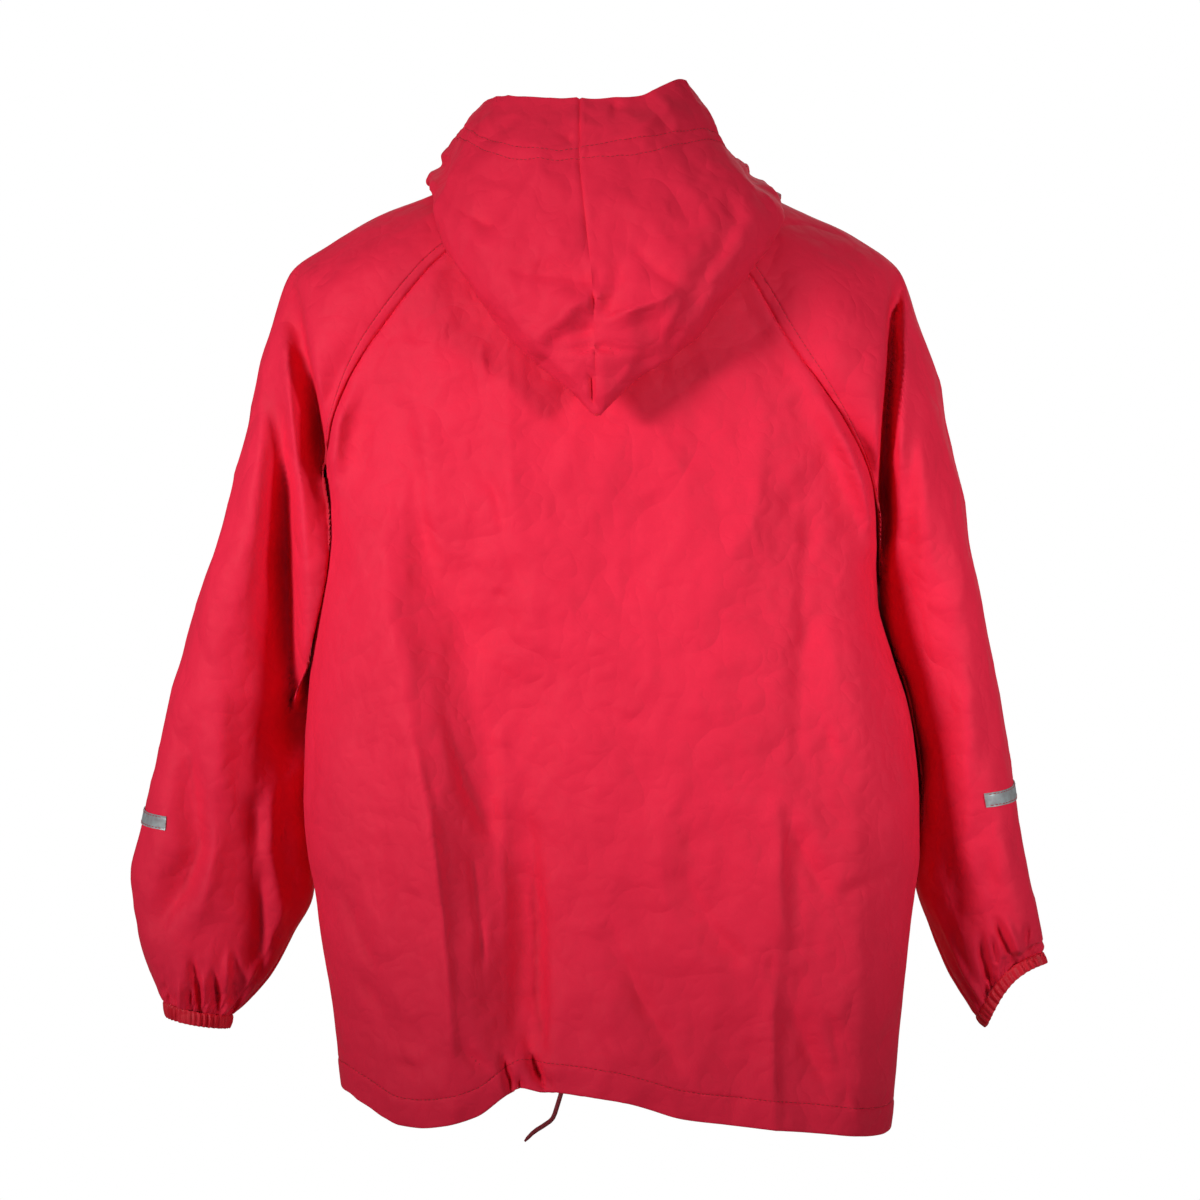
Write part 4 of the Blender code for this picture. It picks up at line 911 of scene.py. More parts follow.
class Cloth:
    """A piece of cloth as a grid of points in millimetres, z up, with outward normals.

    at is each point's place along its row, and deep each row's distance from the first one.
    From the row weld on, both ends of a row are the same point.
    """

    def __init__(self, name, rows, at, weld=None, away_from=None):
        grid = rows * (1, 1, -1)
        middle = grid.reshape(-1, 3).mean(axis=0) if away_from is None else np.array(away_from)
        self.turned = (grid_normals(grid, weld) * (grid - middle)).sum() < 0
        self.name = name
        self.weld = weld
        self.grid = grid[:, ::-1] if self.turned else grid
        self.at = at[:, ::-1] if self.turned else at
        self.length = at.max(axis=1)[:, None]
        self.first = self.at  # from the seam that the rows start at
        self.last = self.length - self.at  # from the one where they end
        self.deep = row_knots(self.grid)
        self.renew()

    def seam(self):
        """How far each point is from the nearer of the side seams."""
        return np.minimum(self.first, self.last)

    def raise_by(self, height):
        """Move the points outwards."""
        self.grid = self.grid + self.normals * height[..., None]

    def renew(self):
        """Work the normals out again."""
        self.normals = grid_normals(self.grid, self.weld)


def share_normals(pieces):
    """Give the points that pieces share one normal, so that they stay together."""
    total = {}
    edges = []
    for piece in pieces:
        rows, cols = piece.grid.shape[:2]
        ends = [(0, j) for j in range(cols)] + [(rows - 1, j) for j in range(cols)]
        ends += [(i, 0) for i in range(1, rows - 1)] + [(i, cols - 1) for i in range(1, rows - 1)]
        for i, j in ends:
            key = tuple(np.round(piece.grid[i, j], 1))
            total[key] = total.get(key, 0) + piece.normals[i, j]
            edges.append((piece, i, j, key))
    for piece, i, j, key in edges:
        piece.normals[i, j] = total[key] / np.linalg.norm(total[key])


def crumple(points):
    """Shallow uneven waves in the cloth, the same wherever pieces meet."""
    made = [
        sum(height * noise.noise(Vector(p) / length) for height, length in CRUMPLES)
        for p in points.reshape(-1, 3)
    ]
    return np.array(made).reshape(points.shape[:-1])


def creased(points):
    """Sharp shallow creases between flatter patches, longer than wide."""
    flat = points.reshape(-1, 3)
    made = np.zeros(len(flat))
    for i, (x, y, z) in enumerate(flat):
        for height, across, upright, start in CREASES:
            place = Vector((x / across + start, y / across, z / upright))
            made[i] -= height * abs(noise.noise(place))
    return made.reshape(points.shape[:-1])


def bell(away, height, width):
    """A smooth rise around a line."""
    return height * np.exp(-((away / width) ** 2))


def pulls(points, away, height, width, finer):
    """Small uneven pulls beside a row of stitches, by the distance from it."""
    return crumple(points * finer) * bell(away, height, width)


def fill_out(pieces, fills):
    """Bring the cloth behind forward along these lines, and the shared edges with it."""
    for piece in pieces:
        x, down = seen(piece.grid)
        heights = fold_heights(x, down, fills)
        piece.grid[..., 1] -= heights * spread(*FILLED, piece.grid[..., 1])
        piece.renew()


def apply_folds(piece, folds, toward=-1, keep=None, fade=6.0, strength=1.0):
    """Move the points towards the side they are seen from, by the folds' heights."""
    x, down = seen(piece.grid * (1, -toward, 1))
    weight = spread(*FACING, toward * piece.normals[..., 1]) * spread(0.5, fade, piece.seam())
    if keep is not None:
        weight = weight * keep
    piece.grid[..., 1] += toward * fold_heights(x, down, folds) * weight * strength


def ruffles(piece, levels):
    """How far the gathers round the wrist move each point."""
    turn = 2 * np.pi * (piece.first / piece.length)
    drift = sum(size * np.sin(waves * turn + start) for size, waves, start in GATHER_DRIFT)
    total = 0
    for waves, follows, start, at, heights, middle, swing, swings, swing_start in GATHERS:
        height = np.interp(levels[:, None], at, heights)
        swell = middle + swing * np.sin(swings * turn + swing_start)
        total = total + height * np.sin(waves * turn + follows * drift + start) * swell
    return total


def curled(piece, walls):
    """Add rows that turn the piece's last row inwards."""
    edge, normal = piece.grid[-1], piece.normals[-1]
    onward = edge - piece.grid[-2]
    onward -= normal * (onward * normal).sum(axis=1)[:, None]
    onward /= np.linalg.norm(onward, axis=1)[:, None]
    radius = walls[-1] / 2
    rows = []
    for turn in np.radians(CURL_TURNS):
        rows.append(edge + radius * (math.sin(turn) * onward - (1 - math.cos(turn)) * normal))
    piece.grid = np.concatenate([piece.grid, np.array(rows)])
    steps = piece.deep[-1] + np.arange(1, len(rows) + 1) * radius * 0.5
    piece.deep = np.concatenate([piece.deep, steps])
    piece.at = np.concatenate([piece.at, np.repeat(piece.at[-1:], len(rows), axis=0)])


def rim(outer, inner, at):
    """Triangles between an edge of the outer side and the sparser edge of the inner one."""
    faces = []
    for k in range(len(at) - 1):
        middle = (at[k] + at[k + 1]) // 2
        for i in range(at[k], at[k + 1]):
            faces.append((outer[i], outer[i + 1], inner[k] if i < middle else inner[k + 1]))
        faces.append((outer[middle], inner[k + 1], inner[k]))
    for i in range(at[-1], len(outer) - 1):
        faces.append((outer[i], outer[i + 1], inner[-1]))
    return faces


def sparse(count, keep=()):
    """Every second number below count, with the last one and those to keep."""
    return sorted(set(range(0, count, 2)) | {count - 1} | set(keep))


def blended(grid, i, j, u, v):
    """The grid's values between its points: past row i and column j by these shares."""
    top = grid[i, j] * (1 - v) + grid[i, j + 1] * v
    low = grid[i + 1, j] * (1 - v) + grid[i + 1, j + 1] * v
    return top * (1 - u) + low * u


def inner_side(piece, walls, rows, cols):
    """The inner side's points, a wall in and nowhere through the outer side."""
    inner = (piece.grid - piece.normals * walls[:, None, None])[rows][:, cols]
    inward = piece.normals[rows][:, cols]
    count, width = piece.grid.shape[:2]
    down = np.interp(np.arange(count), rows, np.arange(len(rows)))
    across = np.interp(np.arange(width), cols, np.arange(len(cols)))
    i = np.clip(down.astype(int), 0, len(rows) - 2)[:, None] + np.zeros((1, width), int)
    j = np.clip(across.astype(int), 0, len(cols) - 2)[None] + np.zeros((count, 1), int)
    u, v = (down[:, None] - i)[..., None], (across[None] - j)[..., None]
    for _ in range(3):
        gap = ((piece.grid - blended(inner, i, j, u, v)) * piece.normals).sum(axis=2)
        short = np.clip(0.5 * walls[:, None] - gap, 0, 3)
        push = np.zeros(inner.shape[:2])
        for a, b in ((0, 0), (1, 0), (0, 1), (1, 1)):
            np.maximum.at(push, (i + a, j + b), short)
        inner = inner - inward * push[..., None]
    return inner


def quads(index, places, turned):
    """The faces between neighbours of a grid of numbers, and their corners' flat places."""
    found = []
    for grid in (index, places):
        corners = [grid[:-1, :-1], grid[1:, :-1], grid[1:, 1:], grid[:-1, 1:]]
        found.append(np.stack(corners[::-1] if turned else corners, axis=2))
    return found[0].reshape(-1, 4), found[1].reshape(-1, 4, 2)


def cloth_object(piece, materials, walls=None, curl=False, close=False):
    """The closed mesh of a piece: its outer side, an inner side a wall further in and its rims.

    The inner side has every second row and column, or all of them where it is close.
    """
    base_rows, width = piece.grid.shape[:2]
    walls = np.full(base_rows, CLOTH) if walls is None else np.asarray(walls, float)
    welded = piece.weld is not None
    rows = range(base_rows) if close else sparse(base_rows, (piece.weld,) if welded else ())
    rows, cols = list(rows), list(range(width)) if close else sparse(width)
    inner_grid = inner_side(piece, walls, rows, cols)
    if curl:
        curled(piece, walls)
    count = tall = len(piece.grid)
    low = len(rows)
    outer = np.arange(count * width).reshape(count, width)
    inner = count * width + np.arange(low * len(cols)).reshape(low, len(cols))
    if welded:
        low, tall = rows.index(piece.weld) + 1, piece.weld + 1
        outer[tall - 1 :, -1] = outer[tall - 1 :, 0]
        inner[low - 1 :, -1] = inner[low - 1 :, 0]
    points = np.concatenate([piece.grid.reshape(-1, 3), inner_grid.reshape(-1, 3)])
    spot = np.stack([piece.at, np.repeat(piece.deep[:, None], width, axis=1)], axis=2) * MM
    inner_spot = spot[rows][:, cols]
    spots = np.concatenate([spot.reshape(-1, 2), inner_spot.reshape(-1, 2)])
    outside, outside_spots = quads(outer, spot, False)
    inside, inside_spots = quads(inner, inner_spot, True)
    edges = rim(outer[0], inner[0], cols)
    edges += [f[::-1] for f in rim(outer[-1], inner[-1], cols)]
    edges += [f[::-1] for f in rim(outer[:tall, 0], inner[:low, 0], rows[:low])]
    edges += rim(outer[:tall, -1], inner[:low, -1], rows[:low])
    edges = [f for f in edges if len(set(f)) == 3]
    mesh = bpy.data.meshes.new(piece.name)
    mesh.from_pydata((points * MM).tolist(), [], outside.tolist() + inside.tolist() + edges)
    edge_spots = spots[np.array(edges).ravel()]
    every = np.concatenate([outside_spots.reshape(-1, 2), inside_spots.reshape(-1, 2), edge_spots])
    mesh.uv_layers.new(name="UVMap").data.foreach_set("uv", every.ravel())
    for material in materials:
        mesh.materials.append(material)
    slots = np.zeros(len(mesh.polygons), int)
    slots[len(outside) : len(outside) + len(inside)] = 1
    mesh.polygons.foreach_set("material_index", slots)
    loose = bmesh.new()
    loose.from_mesh(mesh)
    bmesh.ops.delete(loose, geom=[v for v in loose.verts if not v.link_faces], context="VERTS")
    loose.to_mesh(mesh)
    loose.free()
    mesh.shade_smooth()
    mesh.set_sharp_from_angle(angle=math.radians(75))
    return in_scene(piece.name, mesh)


def sampled(piece, rows, cols):
    """Points and normals of a piece between its grid points, at rows and columns in fractions."""
    i = np.clip(rows.astype(int), 0, piece.grid.shape[0] - 2)
    j = np.clip(cols.astype(int), 0, piece.grid.shape[1] - 2)
    u, v = (rows - i)[..., None], (cols - j)[..., None]
    return [blended(field, i, j, u, v) for field in (piece.grid, piece.normals)]


def stitch_line(points, normals):
    """Ends of the stitches along a line, a little above the cloth, as a list of pairs."""
    gone = along(points)
    pairs = []
    at = STITCH_PITCH * 0.4
    while at + STITCH_LENGTH < gone[-1]:
        ends = []
        for place in (at, at + STITCH_LENGTH):
            n = interpolated(place, gone, normals)
            lift = n / max(np.linalg.norm(n), 1e-6) * STITCH_LIFT
            ends.append((interpolated(place, gone, points) + lift, n))
        pairs.append(ends)
        at += STITCH_PITCH
    return pairs


def stitches(name, pairs, thread):
    """All the stitches of one sewing as one mesh of short rounded threads."""
    points, faces = [], []
    for (a, n), (b, _) in pairs:
        along_way = b - a
        length = np.linalg.norm(along_way)
        along_way = along_way / length
        up = n - along_way * (n @ along_way)
        up /= max(np.linalg.norm(up), 1e-6)
        side = np.cross(along_way, up)
        first = len(points)
        points.append(a - up * STITCH_SINK)
        for share, wide in ((0.1, 0.75), (0.5, 1.0), (0.9, 0.75)):
            for k in range(6):
                turn = k * math.pi / 3
                ring = side * math.cos(turn) + up * math.sin(turn)
                points.append(a + along_way * length * share + ring * STITCH_RADIUS * wide)
        points.append(b - up * STITCH_SINK)
        last = first + 19
        for k in range(6):
            m = (k + 1) % 6
            faces.append((first, first + 1 + m, first + 1 + k))
            for ring in (0, 6):
                p, q = first + 1 + ring + k, first + 1 + ring + m
                faces.append((p, q, q + 6, p + 6))
            faces.append((first + 13 + k, first + 13 + m, last))
    mesh = bpy.data.meshes.new(name)
    mesh.from_pydata((np.array(points) * MM).tolist(), [], faces)
    mesh.materials.append(thread)
    mesh.shade_smooth()
    return in_scene(name, mesh)


# Materials


def nodes_of(name):
    """A new material, its nodes, its shader and its texture places."""
    made = bpy.data.materials.new(name)
    made.use_nodes = True
    tree = made.node_tree
    return made, tree, tree.nodes["Principled BSDF"], linked(tree, "ShaderNodeTexCoord").outputs


def feed(tree, node, inputs):
    """Link or set the node's inputs."""
    for key, value in inputs.items():
        if isinstance(value, bpy.types.NodeSocket):
            tree.links.new(value, node.inputs[key])
        else:
            node.inputs[key].default_value = value


def linked(tree, kind, inputs=None, **settings):
    """A new node with its settings, and its inputs linked or set."""
    node = tree.nodes.new(kind)
    for key, value in settings.items():
        setattr(node, key, value)
    feed(tree, node, inputs or {})
    return node


def noise_of(tree, where, scale, detail):
    """Soft noise with this many waves to a metre."""
    inputs = {"Vector": where, "Scale": scale, "Detail": detail, "Roughness": 0.55}
    return linked(tree, "ShaderNodeTexNoise", inputs).outputs["Fac"]


def maths(tree, operation, *values):
    """The result of a calculation with these values."""
    return linked(tree, "ShaderNodeMath", dict(enumerate(values)), operation=operation).outputs[0]


def ramp_of(tree, value, low, high):
    """The value's range low to high stretched to 0 to 1."""
    node = linked(tree, "ShaderNodeMapRange", {"Value": value, "From Min": low, "From Max": high})
    return node.outputs["Result"]


def between(tree, value, low, high):
    """The value's range 0 to 1 brought between low and high."""
    node = linked(tree, "ShaderNodeMapRange", {"Value": value, "To Min": low, "To Max": high})
    return node.outputs["Result"]


def mixed(tree, share, first, second, blend="MIX"):
    """Two colours mixed by the share."""
    inputs = {"Factor": share, "A": first, "B": second}
    node = linked(tree, "ShaderNodeMix", inputs, data_type="RGBA", blend_type=blend)
    return node.outputs["Result"]


def weave_height(tree, place, pitch):
    """A plain weave's height: threads over and under, from the piece's own flat places."""
    split = linked(tree, "ShaderNodeSeparateXYZ", {"Vector": place}).outputs
    waves = []
    for axis in ("X", "Y"):
        turn = maths(tree, "MULTIPLY", split[axis], math.pi / (pitch * MM))
        waves.append(maths(tree, "SINE", turn))
    return maths(tree, "MULTIPLY", *waves)


def bumped(tree, heights):
    """A chain of bumps: each a height, its depth in metres and its strength."""
    normal = None
    for height, depth, strength in heights:
        inputs = {"Height": height, "Distance": depth, "Strength": strength}
        if normal is not None:
            inputs["Normal"] = normal
        normal = linked(tree, "ShaderNodeBump", inputs).outputs["Normal"]
    return normal


def creases_of(tree, place, scale):
    """Height of sharp creases between flatter patches."""
    pattern = linked(tree, "ShaderNodeTexNoise", {"Vector": place, "Scale": scale, "Detail": 1.0})
    return maths(tree, "ABSOLUTE", maths(tree, "SUBTRACT", pattern.outputs[0], 0.5))


def coated_cloth(name, light, dark, roughness):
    """Coated fabric: uneven colour and gloss, a fine weave and a slight crinkle."""
    made, tree, shader, place = nodes_of(name)
    body = place["Object"]
    colour = mixed(tree, ramp_of(tree, noise_of(tree, body, 26, 4), 0.3, 0.7), light, dark)
    grain = maths(tree, "MULTIPLY", ramp_of(tree, noise_of(tree, body, 900, 2), 0.3, 0.7), 0.35)
    gloss = noise_of(tree, body, 140, 3)
    heights = [
        (creases_of(tree, body, 21), 0.016, 0.5),
        (creases_of(tree, body, 64), 0.0042, 0.5),
        (noise_of(tree, body, 230, 3), 0.00035, 0.35),
        (noise_of(tree, body, 1300, 2), 0.00006, 0.4),
        (weave_height(tree, place["UV"], WEAVE_PITCH), 0.00003, 0.5),
    ]
    feed(tree, shader, {
        "Base Color": mixed(tree, grain, colour, SPECKLE, "MULTIPLY"),
        "Roughness": between(tree, gloss, roughness - 0.07, roughness + 0.09),
        "IOR": 1.36,
        "Normal": bumped(tree, heights),
    })
    return made


def reflective_tape():
    """Grey tape of fine glass beads, with a woven edge."""
    made, tree, shader, place = nodes_of("reflective_grey")
    body = place["Object"]
    beads = linked(tree, "ShaderNodeTexVoronoi", {"Vector": body, "Scale": 2600})
    worn = ramp_of(tree, noise_of(tree, body, 160, 4), 0.35, 0.68)
    heights = [
        (beads.outputs["Distance"], 0.00008, 0.5),
        (weave_height(tree, place["UV"], TAPE_WEAVE_PITCH), 0.00004, 0.4),
    ]
    feed(tree, shader, {
        "Base Color": mixed(tree, worn, *TAPE_GREYS),
        "Metallic": 0.25,
        "Roughness": between(tree, worn, 0.42, 0.6),
        "Normal": bumped(tree, heights),
    })
    return made


def sewing_thread():
    """Spun thread, a little darker than the cloth, with a twist along it."""
    made, tree, shader, place = nodes_of("sewing_thread")
    twist = noise_of(tree, place["Object"], 4200, 2)
    feed(tree, shader, {
        "Base Color": mixed(tree, ramp_of(tree, twist, 0.35, 0.65), *THREAD_REDS),
        "Roughness": 0.62,
        "Normal": bumped(tree, [(twist, 0.00006, 0.5)]),
    })
    return made


def stud_plastic():
    """Dark red plastic with a faint moulded grain and rubbed patches here and there."""
    made, tree, shader, place = nodes_of("stud_plastic")
    rubbed = ramp_of(tree, noise_of(tree, place["Object"], 600, 4), 0.4, 0.66)
    grain = noise_of(tree, place["Object"], 3000, 2)
    feed(tree, shader, {
        "Base Color": mixed(tree, rubbed, *STUD_REDS),
        "Roughness": between(tree, rubbed, 0.26, 0.44),
        "Normal": bumped(tree, [(grain, 0.00002, 0.4)]),
    })
    return made


def braided_cord():
    """Dark red cord with crossing strands and a little fuzz."""
    made, tree, shader, place = nodes_of("braided_cord")
    strands = linked(tree, "ShaderNodeTexVoronoi", {"Vector": place["Object"], "Scale": 1500})
    fuzz = noise_of(tree, place["Object"], 900, 3)
    heights = [(strands.outputs["Distance"], 0.0002, 0.7), (fuzz, 0.0001, 0.3)]
    feed(tree, shader, {
        "Base Color": mixed(tree, ramp_of(tree, fuzz, 0.35, 0.65), *CORD_REDS),
        "Roughness": 0.7,
        "Normal": bumped(tree, heights),
    })
    return made


def floor_paint():
    """Matte white floor with the faintest unevenness."""
    made, tree, shader, place = nodes_of("floor_paint")
    cloudy = ramp_of(tree, noise_of(tree, place["Object"], 2.5, 4), 0.3, 0.7)
    feed(tree, shader, {"Base Color": mixed(tree, cloudy, *FLOOR_WHITES), "Roughness": 0.85})
    return made


# Pieces


def body_pieces():
    """The back and both fronts, before any folds."""
    back = Cloth("back_panel", *panel(back_line, BACK_COLUMNS))
    fronts = []
    for side in ("left", "right"):
        rows, at = panel(lambda level: front_line(side, level), FRONT_COLUMNS)
        fronts.append(Cloth(f"front_panel_{side}", rows, at, away_from=INSIDE))
    return back, fronts


def sleeve_pieces():
    """Both sleeves and both cuffs, before any folds."""
    sleeves, cuffs = [], []
    for side in ("left", "right"):
        sleeves.append(Cloth(f"raglan_sleeve_{side}", *tube(side, SLEEVE_LEVELS), weld=UNDERARM_ROW))
        cuffs.append(Cloth(f"elastic_cuff_{side}", *tube(side, CUFF_LEVELS), weld=0))
    return sleeves, cuffs


def shape_body(back, fronts):
    """Folds, seams and the stitched hem of the body."""
    for piece in [back] + fronts:
        start = piece.grid.copy()
        if piece is back:
            apply_folds(piece, BACK_FORMS)
            apply_folds(piece, BACK_FOLDS, strength=BACK_STRENGTH)
        else:
            keep = spread(*FLAP_FLAT, np.abs(piece.grid[..., 0]))
            apply_folds(piece, FRONT_FOLDS, toward=1, keep=keep, strength=FRONT_STRENGTH)
        from_side = spread(4, 50, BODY_SIDE - np.abs(start[..., 0])) * spread(2, 20, piece.seam())
        height = crumple(start) + creased(start) * from_side
        height = height + np.interp(piece.seam(), *SEAM_BODY)
        above = np.full(len(piece.grid) - len(HEM_STEPS), HEM_PROFILE[0][-1])
        row_up = np.append(above, HEM_STEPS)
        pull = pulls(start, (row_up - HEM_STITCH)[:, None], *HEM_PULL)
        height = height + np.interp(row_up, *HEM_PROFILE)[:, None]
        piece.raise_by(height + pull * spread(0, 6, piece.seam()))
        piece.renew()


def carried_round(folds):
    """The sleeve's folds as they go on in front."""
    made = []
    for left, right, sharpness, *line in folds:
        line = [(x, down + ROUND_LOWER, ROUND_SHALLOWER * height) for x, down, height in line]
        made.append((ROUND_WIDER * left, ROUND_WIDER * right, sharpness, *line))
    return made


def shape_sleeves(sleeves, cuffs):
    """Folds, seams, gathers and the elastic's casing."""
    yoke = (SLEEVE_LEVELS <= 9.6)[:, None]
    near_cuff = np.interp(SLEEVE_LEVELS, *SLEEVE_END)[:, None]
    above_cuff = spread(17.6, 16.6, SLEEVE_LEVELS)[:, None]
    for side, sleeve, cuff in zip(("left", "right"), sleeves, cuffs):
        start = sleeve.grid.copy()
        apply_folds(sleeve, SLEEVE_FOLDS[side])
        apply_folds(sleeve, carried_round(SLEEVE_FOLDS[side]), toward=1)
        seam = sleeve.seam()
        raised = np.where(yoke, np.interp(seam, *SEAM_SLEEVE), np.interp(seam, *SEAM_PLAIN))
        from_body = spread(*ARM_BEYOND, np.abs(start[..., 0])) * spread(6, 24, seam) * above_cuff
        height = crumple(start) + SLEEVE_CREASED * creased(start) * from_body + raised + near_cuff
        height = height + ruffles(sleeve, SLEEVE_LEVELS)
        pull = pulls(sleeve.grid, seam - SEAM_STITCH, *SEAM_PULL)
        height = height + np.where(yoke, pull, 0) * spread(0, 4, seam)
        sleeve.raise_by(height)
        sleeve.renew()
        band = np.interp(CUFF_LEVELS, *CASING)[:, None]
        cuff.raise_by(crumple(cuff.grid) + band + ruffles(cuff, CUFF_LEVELS))
        cuff.renew()


def through(rows, at):
    """Rows between key rows, smooth across them, at these distances from the first one."""
    knots = row_knots(rows)
    i = np.clip(np.searchsorted(knots, at, side="right") - 1, 0, len(knots) - 2)
    slopes = np.gradient(rows, knots, axis=0)
    h = (knots[i + 1] - knots[i])[:, None, None]
    t = ((at - knots[i]) / (knots[i + 1] - knots[i]))[:, None, None]
    return hermite(t, rows[i], rows[i + 1], h * slopes[i], h * slopes[i + 1])


def hood_key_rows(neckline, shares):
    """The hood's main lines: neck seam, roll, fold, outer side and face edge."""
    places = np.arange(len(NECK_ANGLE))
    angles = np.interp(shares * places[-1], places, np.radians(NECK_ANGLE))
    ring_angle = np.unwrap(np.arctan2(neckline[:, 1], neckline[:, 0]))
    order = np.argsort(ring_angle)
    ring_angle, ring = ring_angle[order], neckline[order]
    wrapped = (angles - ring_angle[0]) % (2 * np.pi) + ring_angle[0]
    closed_angle = np.append(ring_angle, ring_angle[0] + 2 * np.pi)
    seam = interpolated(wrapped, closed_angle, np.vstack([ring, ring[:1]]))
    outward = seam * (1, 1, 0)
    outward /= np.linalg.norm(outward, axis=1)[:, None]
    lines = (FOLD_LINE, MIDDLE_LINE, STITCH_LINE, FACE_LINE)
    fold, middle, stitch, face = (smooth_line(line, shares) for line in lines)
    from_tip = np.abs(fold[:, 0] - TIP_X) / TIP_WIDTH
    fold[:, 2] -= TIP_RISE * from_tip * np.exp((1 - from_tip * from_tip) / 2) * (fold[:, 1] < 0)
    seam = seam + (0, 0, -0.3)
    foot, over = (seam + outward * out + (0, 0, -rise) for out, rise in (ROLL_FOOT, ROLL_TOP))
    rows = [seam, foot, over]
    rows += [over + (fold - over) * share for share in LINING_ROWS]
    rows += [fold]
    tip = fold + outward * FOLD_THICK
    for share in OUTSIDE_ROWS:
        line = tip + (middle - tip) * share
        rows.append(line + outward * HOOD_BELLY * math.sin(math.pi * share))
    rows += [middle, middle + (stitch - middle) * 0.5 + outward * 3]
    rows += [stitch, stitch + (face - stitch) * 0.5 + outward * 2, face]
    return np.array(rows)


def tree_of(pieces, step=3):
    """The pieces' outer sides as one tree to find nearest points on."""
    points, faces = [], []
    for piece in pieces:
        grid = piece.grid[::step, ::step]
        rows, cols = grid.shape[:2]
        index = np.arange(rows * cols).reshape(rows, cols) + len(points)
        points += grid.reshape(-1, 3).tolist()
        corners = (index[:-1, :-1], index[1:, :-1], index[1:, 1:], index[:-1, 1:])
        faces += np.stack(corners, axis=2).reshape(-1, 4).tolist()
    return BVHTree.FromPolygons(points, faces)


def lying_on(rows, tree, clear):
    """Move the rows' points off the cloth under them, each row by its own clearance."""
    for i in range(1, len(rows)):
        for j in range(rows.shape[1]):
            p = Vector(rows[i, j])
            where, normal, _, _ = tree.find_nearest(p)
            if (p - where).dot(normal) < clear[i]:
                rows[i, j] = np.array(where + normal * clear[i])


def hood_pieces(neckline, body):
    """Both halves of the hood, lying on the back, and the rows' distances from its fold."""
    keys = hood_key_rows(neckline, np.linspace(0, 1, 2 * HOOD_COLUMNS + 1))
    knots = row_knots(keys)
    turn, end = knots[FOLD_ROW], knots[-1]
    at = np.concatenate([
        np.linspace(0, turn, HOOD_LOW_ROWS + 1)[:-1],
        np.linspace(turn, end - HOOD_EDGE, HOOD_HIGH_ROWS + 1)[:-1],
        np.linspace(end - HOOD_EDGE, end - 1.0, HOOD_EDGE_ROWS + 1),
    ])
    rows = through(keys, at) * (1, 1, -1)
    lying_on(rows, tree_of(body), HOOD_CLEAR * spread(0, 14, at))
    for _ in range(3):
        rows[1:-1, 1:-1] = (
            4 * rows[1:-1, 1:-1] + rows[:-2, 1:-1] + rows[2:, 1:-1] + rows[1:-1, :-2] + rows[1:-1, 2:]
        ) / 8
    rows = rows * (1, 1, -1)
    halves = []
    for side, grid in (("left", rows[:, : HOOD_COLUMNS + 1]), ("right", rows[:, HOOD_COLUMNS:])):
        halves.append(Cloth(f"hood_half_{side}", grid, row_places(grid)))
    return halves, at - turn


def row_places(grid):
    """Each point's place along its row, the same in all rows."""
    return np.repeat(row_knots(grid.swapaxes(0, 1))[None], len(grid), axis=0)


def hood_stitch_places(halves, beyond_fold):
    """How far before the face edge each column's stitch lines are, smooth over the columns."""
    found = []
    for line in HOOD_STITCHES.values():
        line = np.array(line)
        places, known = [], []
        for half in halves:
            x, down = seen(half.grid)
            for j in range(x.shape[1]):
                gone = along(half.grid[:, j])
                wanted = np.interp(x[:, j], line[:, 0], line[:, 1])
                over = (down[:, j] < wanted) & (beyond_fold > HOOD_STITCHED_FROM)
                hit = np.argmax(over) if over.any() else 0
                inside = line[0, 0] < x[hit, j] < line[-1, 0]
                places.append(gone[-1] - gone[hit] if hit else 0)
                known.append(bool(hit and inside and half.normals[hit, j, 1] < 0.2))
        places, known, order = np.array(places), np.array(known), np.arange(len(places))
        smooth = np.interp(order, order[known], places[known])
        smooth = np.convolve(np.pad(smooth, 4, mode="edge"), np.ones(9) / 9, mode="valid")
        found.append(smooth.reshape(len(halves), -1))
    return found


def shape_hood(halves, beyond_fold):
    """Folds, the middle seam and the two stitched rows of the hood; the stitch lines' ends."""
    sewn = []
    outer = spread(2, 14, beyond_fold)[:, None]
    near_fold = spread(0, 20, np.abs(beyond_fold) + 12)[:, None]
    lines = hood_stitch_places(halves, beyond_fold)
    for k, half in enumerate(halves):
        start = half.grid.copy()
        upper, lower = (places[k] for places in lines)
        apply_folds(half, HOOD_CREASES, keep=outer, fade=2.0, strength=HOOD_STRENGTH)
        middle = half.last if half.name.endswith("left") else half.first
        height = HOOD_CRUMPLED * crumple(start) + HOOD_CREASED * creased(start * HOOD_FINER)
        height = height * near_fold
        height = height - bell(middle, *HOOD_SEAM) + bell(middle - HOOD_ALLOWANCE, *HOOD_RIDGE)
        columns_gone = [along(half.grid[:, j]) for j in range(half.grid.shape[1])]
        gone = np.array([column[-1] - column for column in columns_gone]).T
        for places in (upper, lower):
            near = gone - places[None]
            height = height - bell(near, *HOOD_DENT) + pulls(start, near, *HOOD_PULL)
        casing = spread(0, 2, gone - upper[None]) * spread(0, 2, lower[None] - gone)
        height = height + HOOD_CASING * casing
        half.raise_by(height)
        half.renew()
        for places in (upper, lower):
            points, normals = [], []
            for j, place in enumerate(places):
                column = half.grid[:, j]
                column_gone = along(column)
                place = column_gone[-1] - place
                points.append(interpolated(place, column_gone, column))
                normals.append(interpolated(place, column_gone, half.normals[:, j]))
            sewn.append((np.array(points), np.array(normals)))
    return sewn


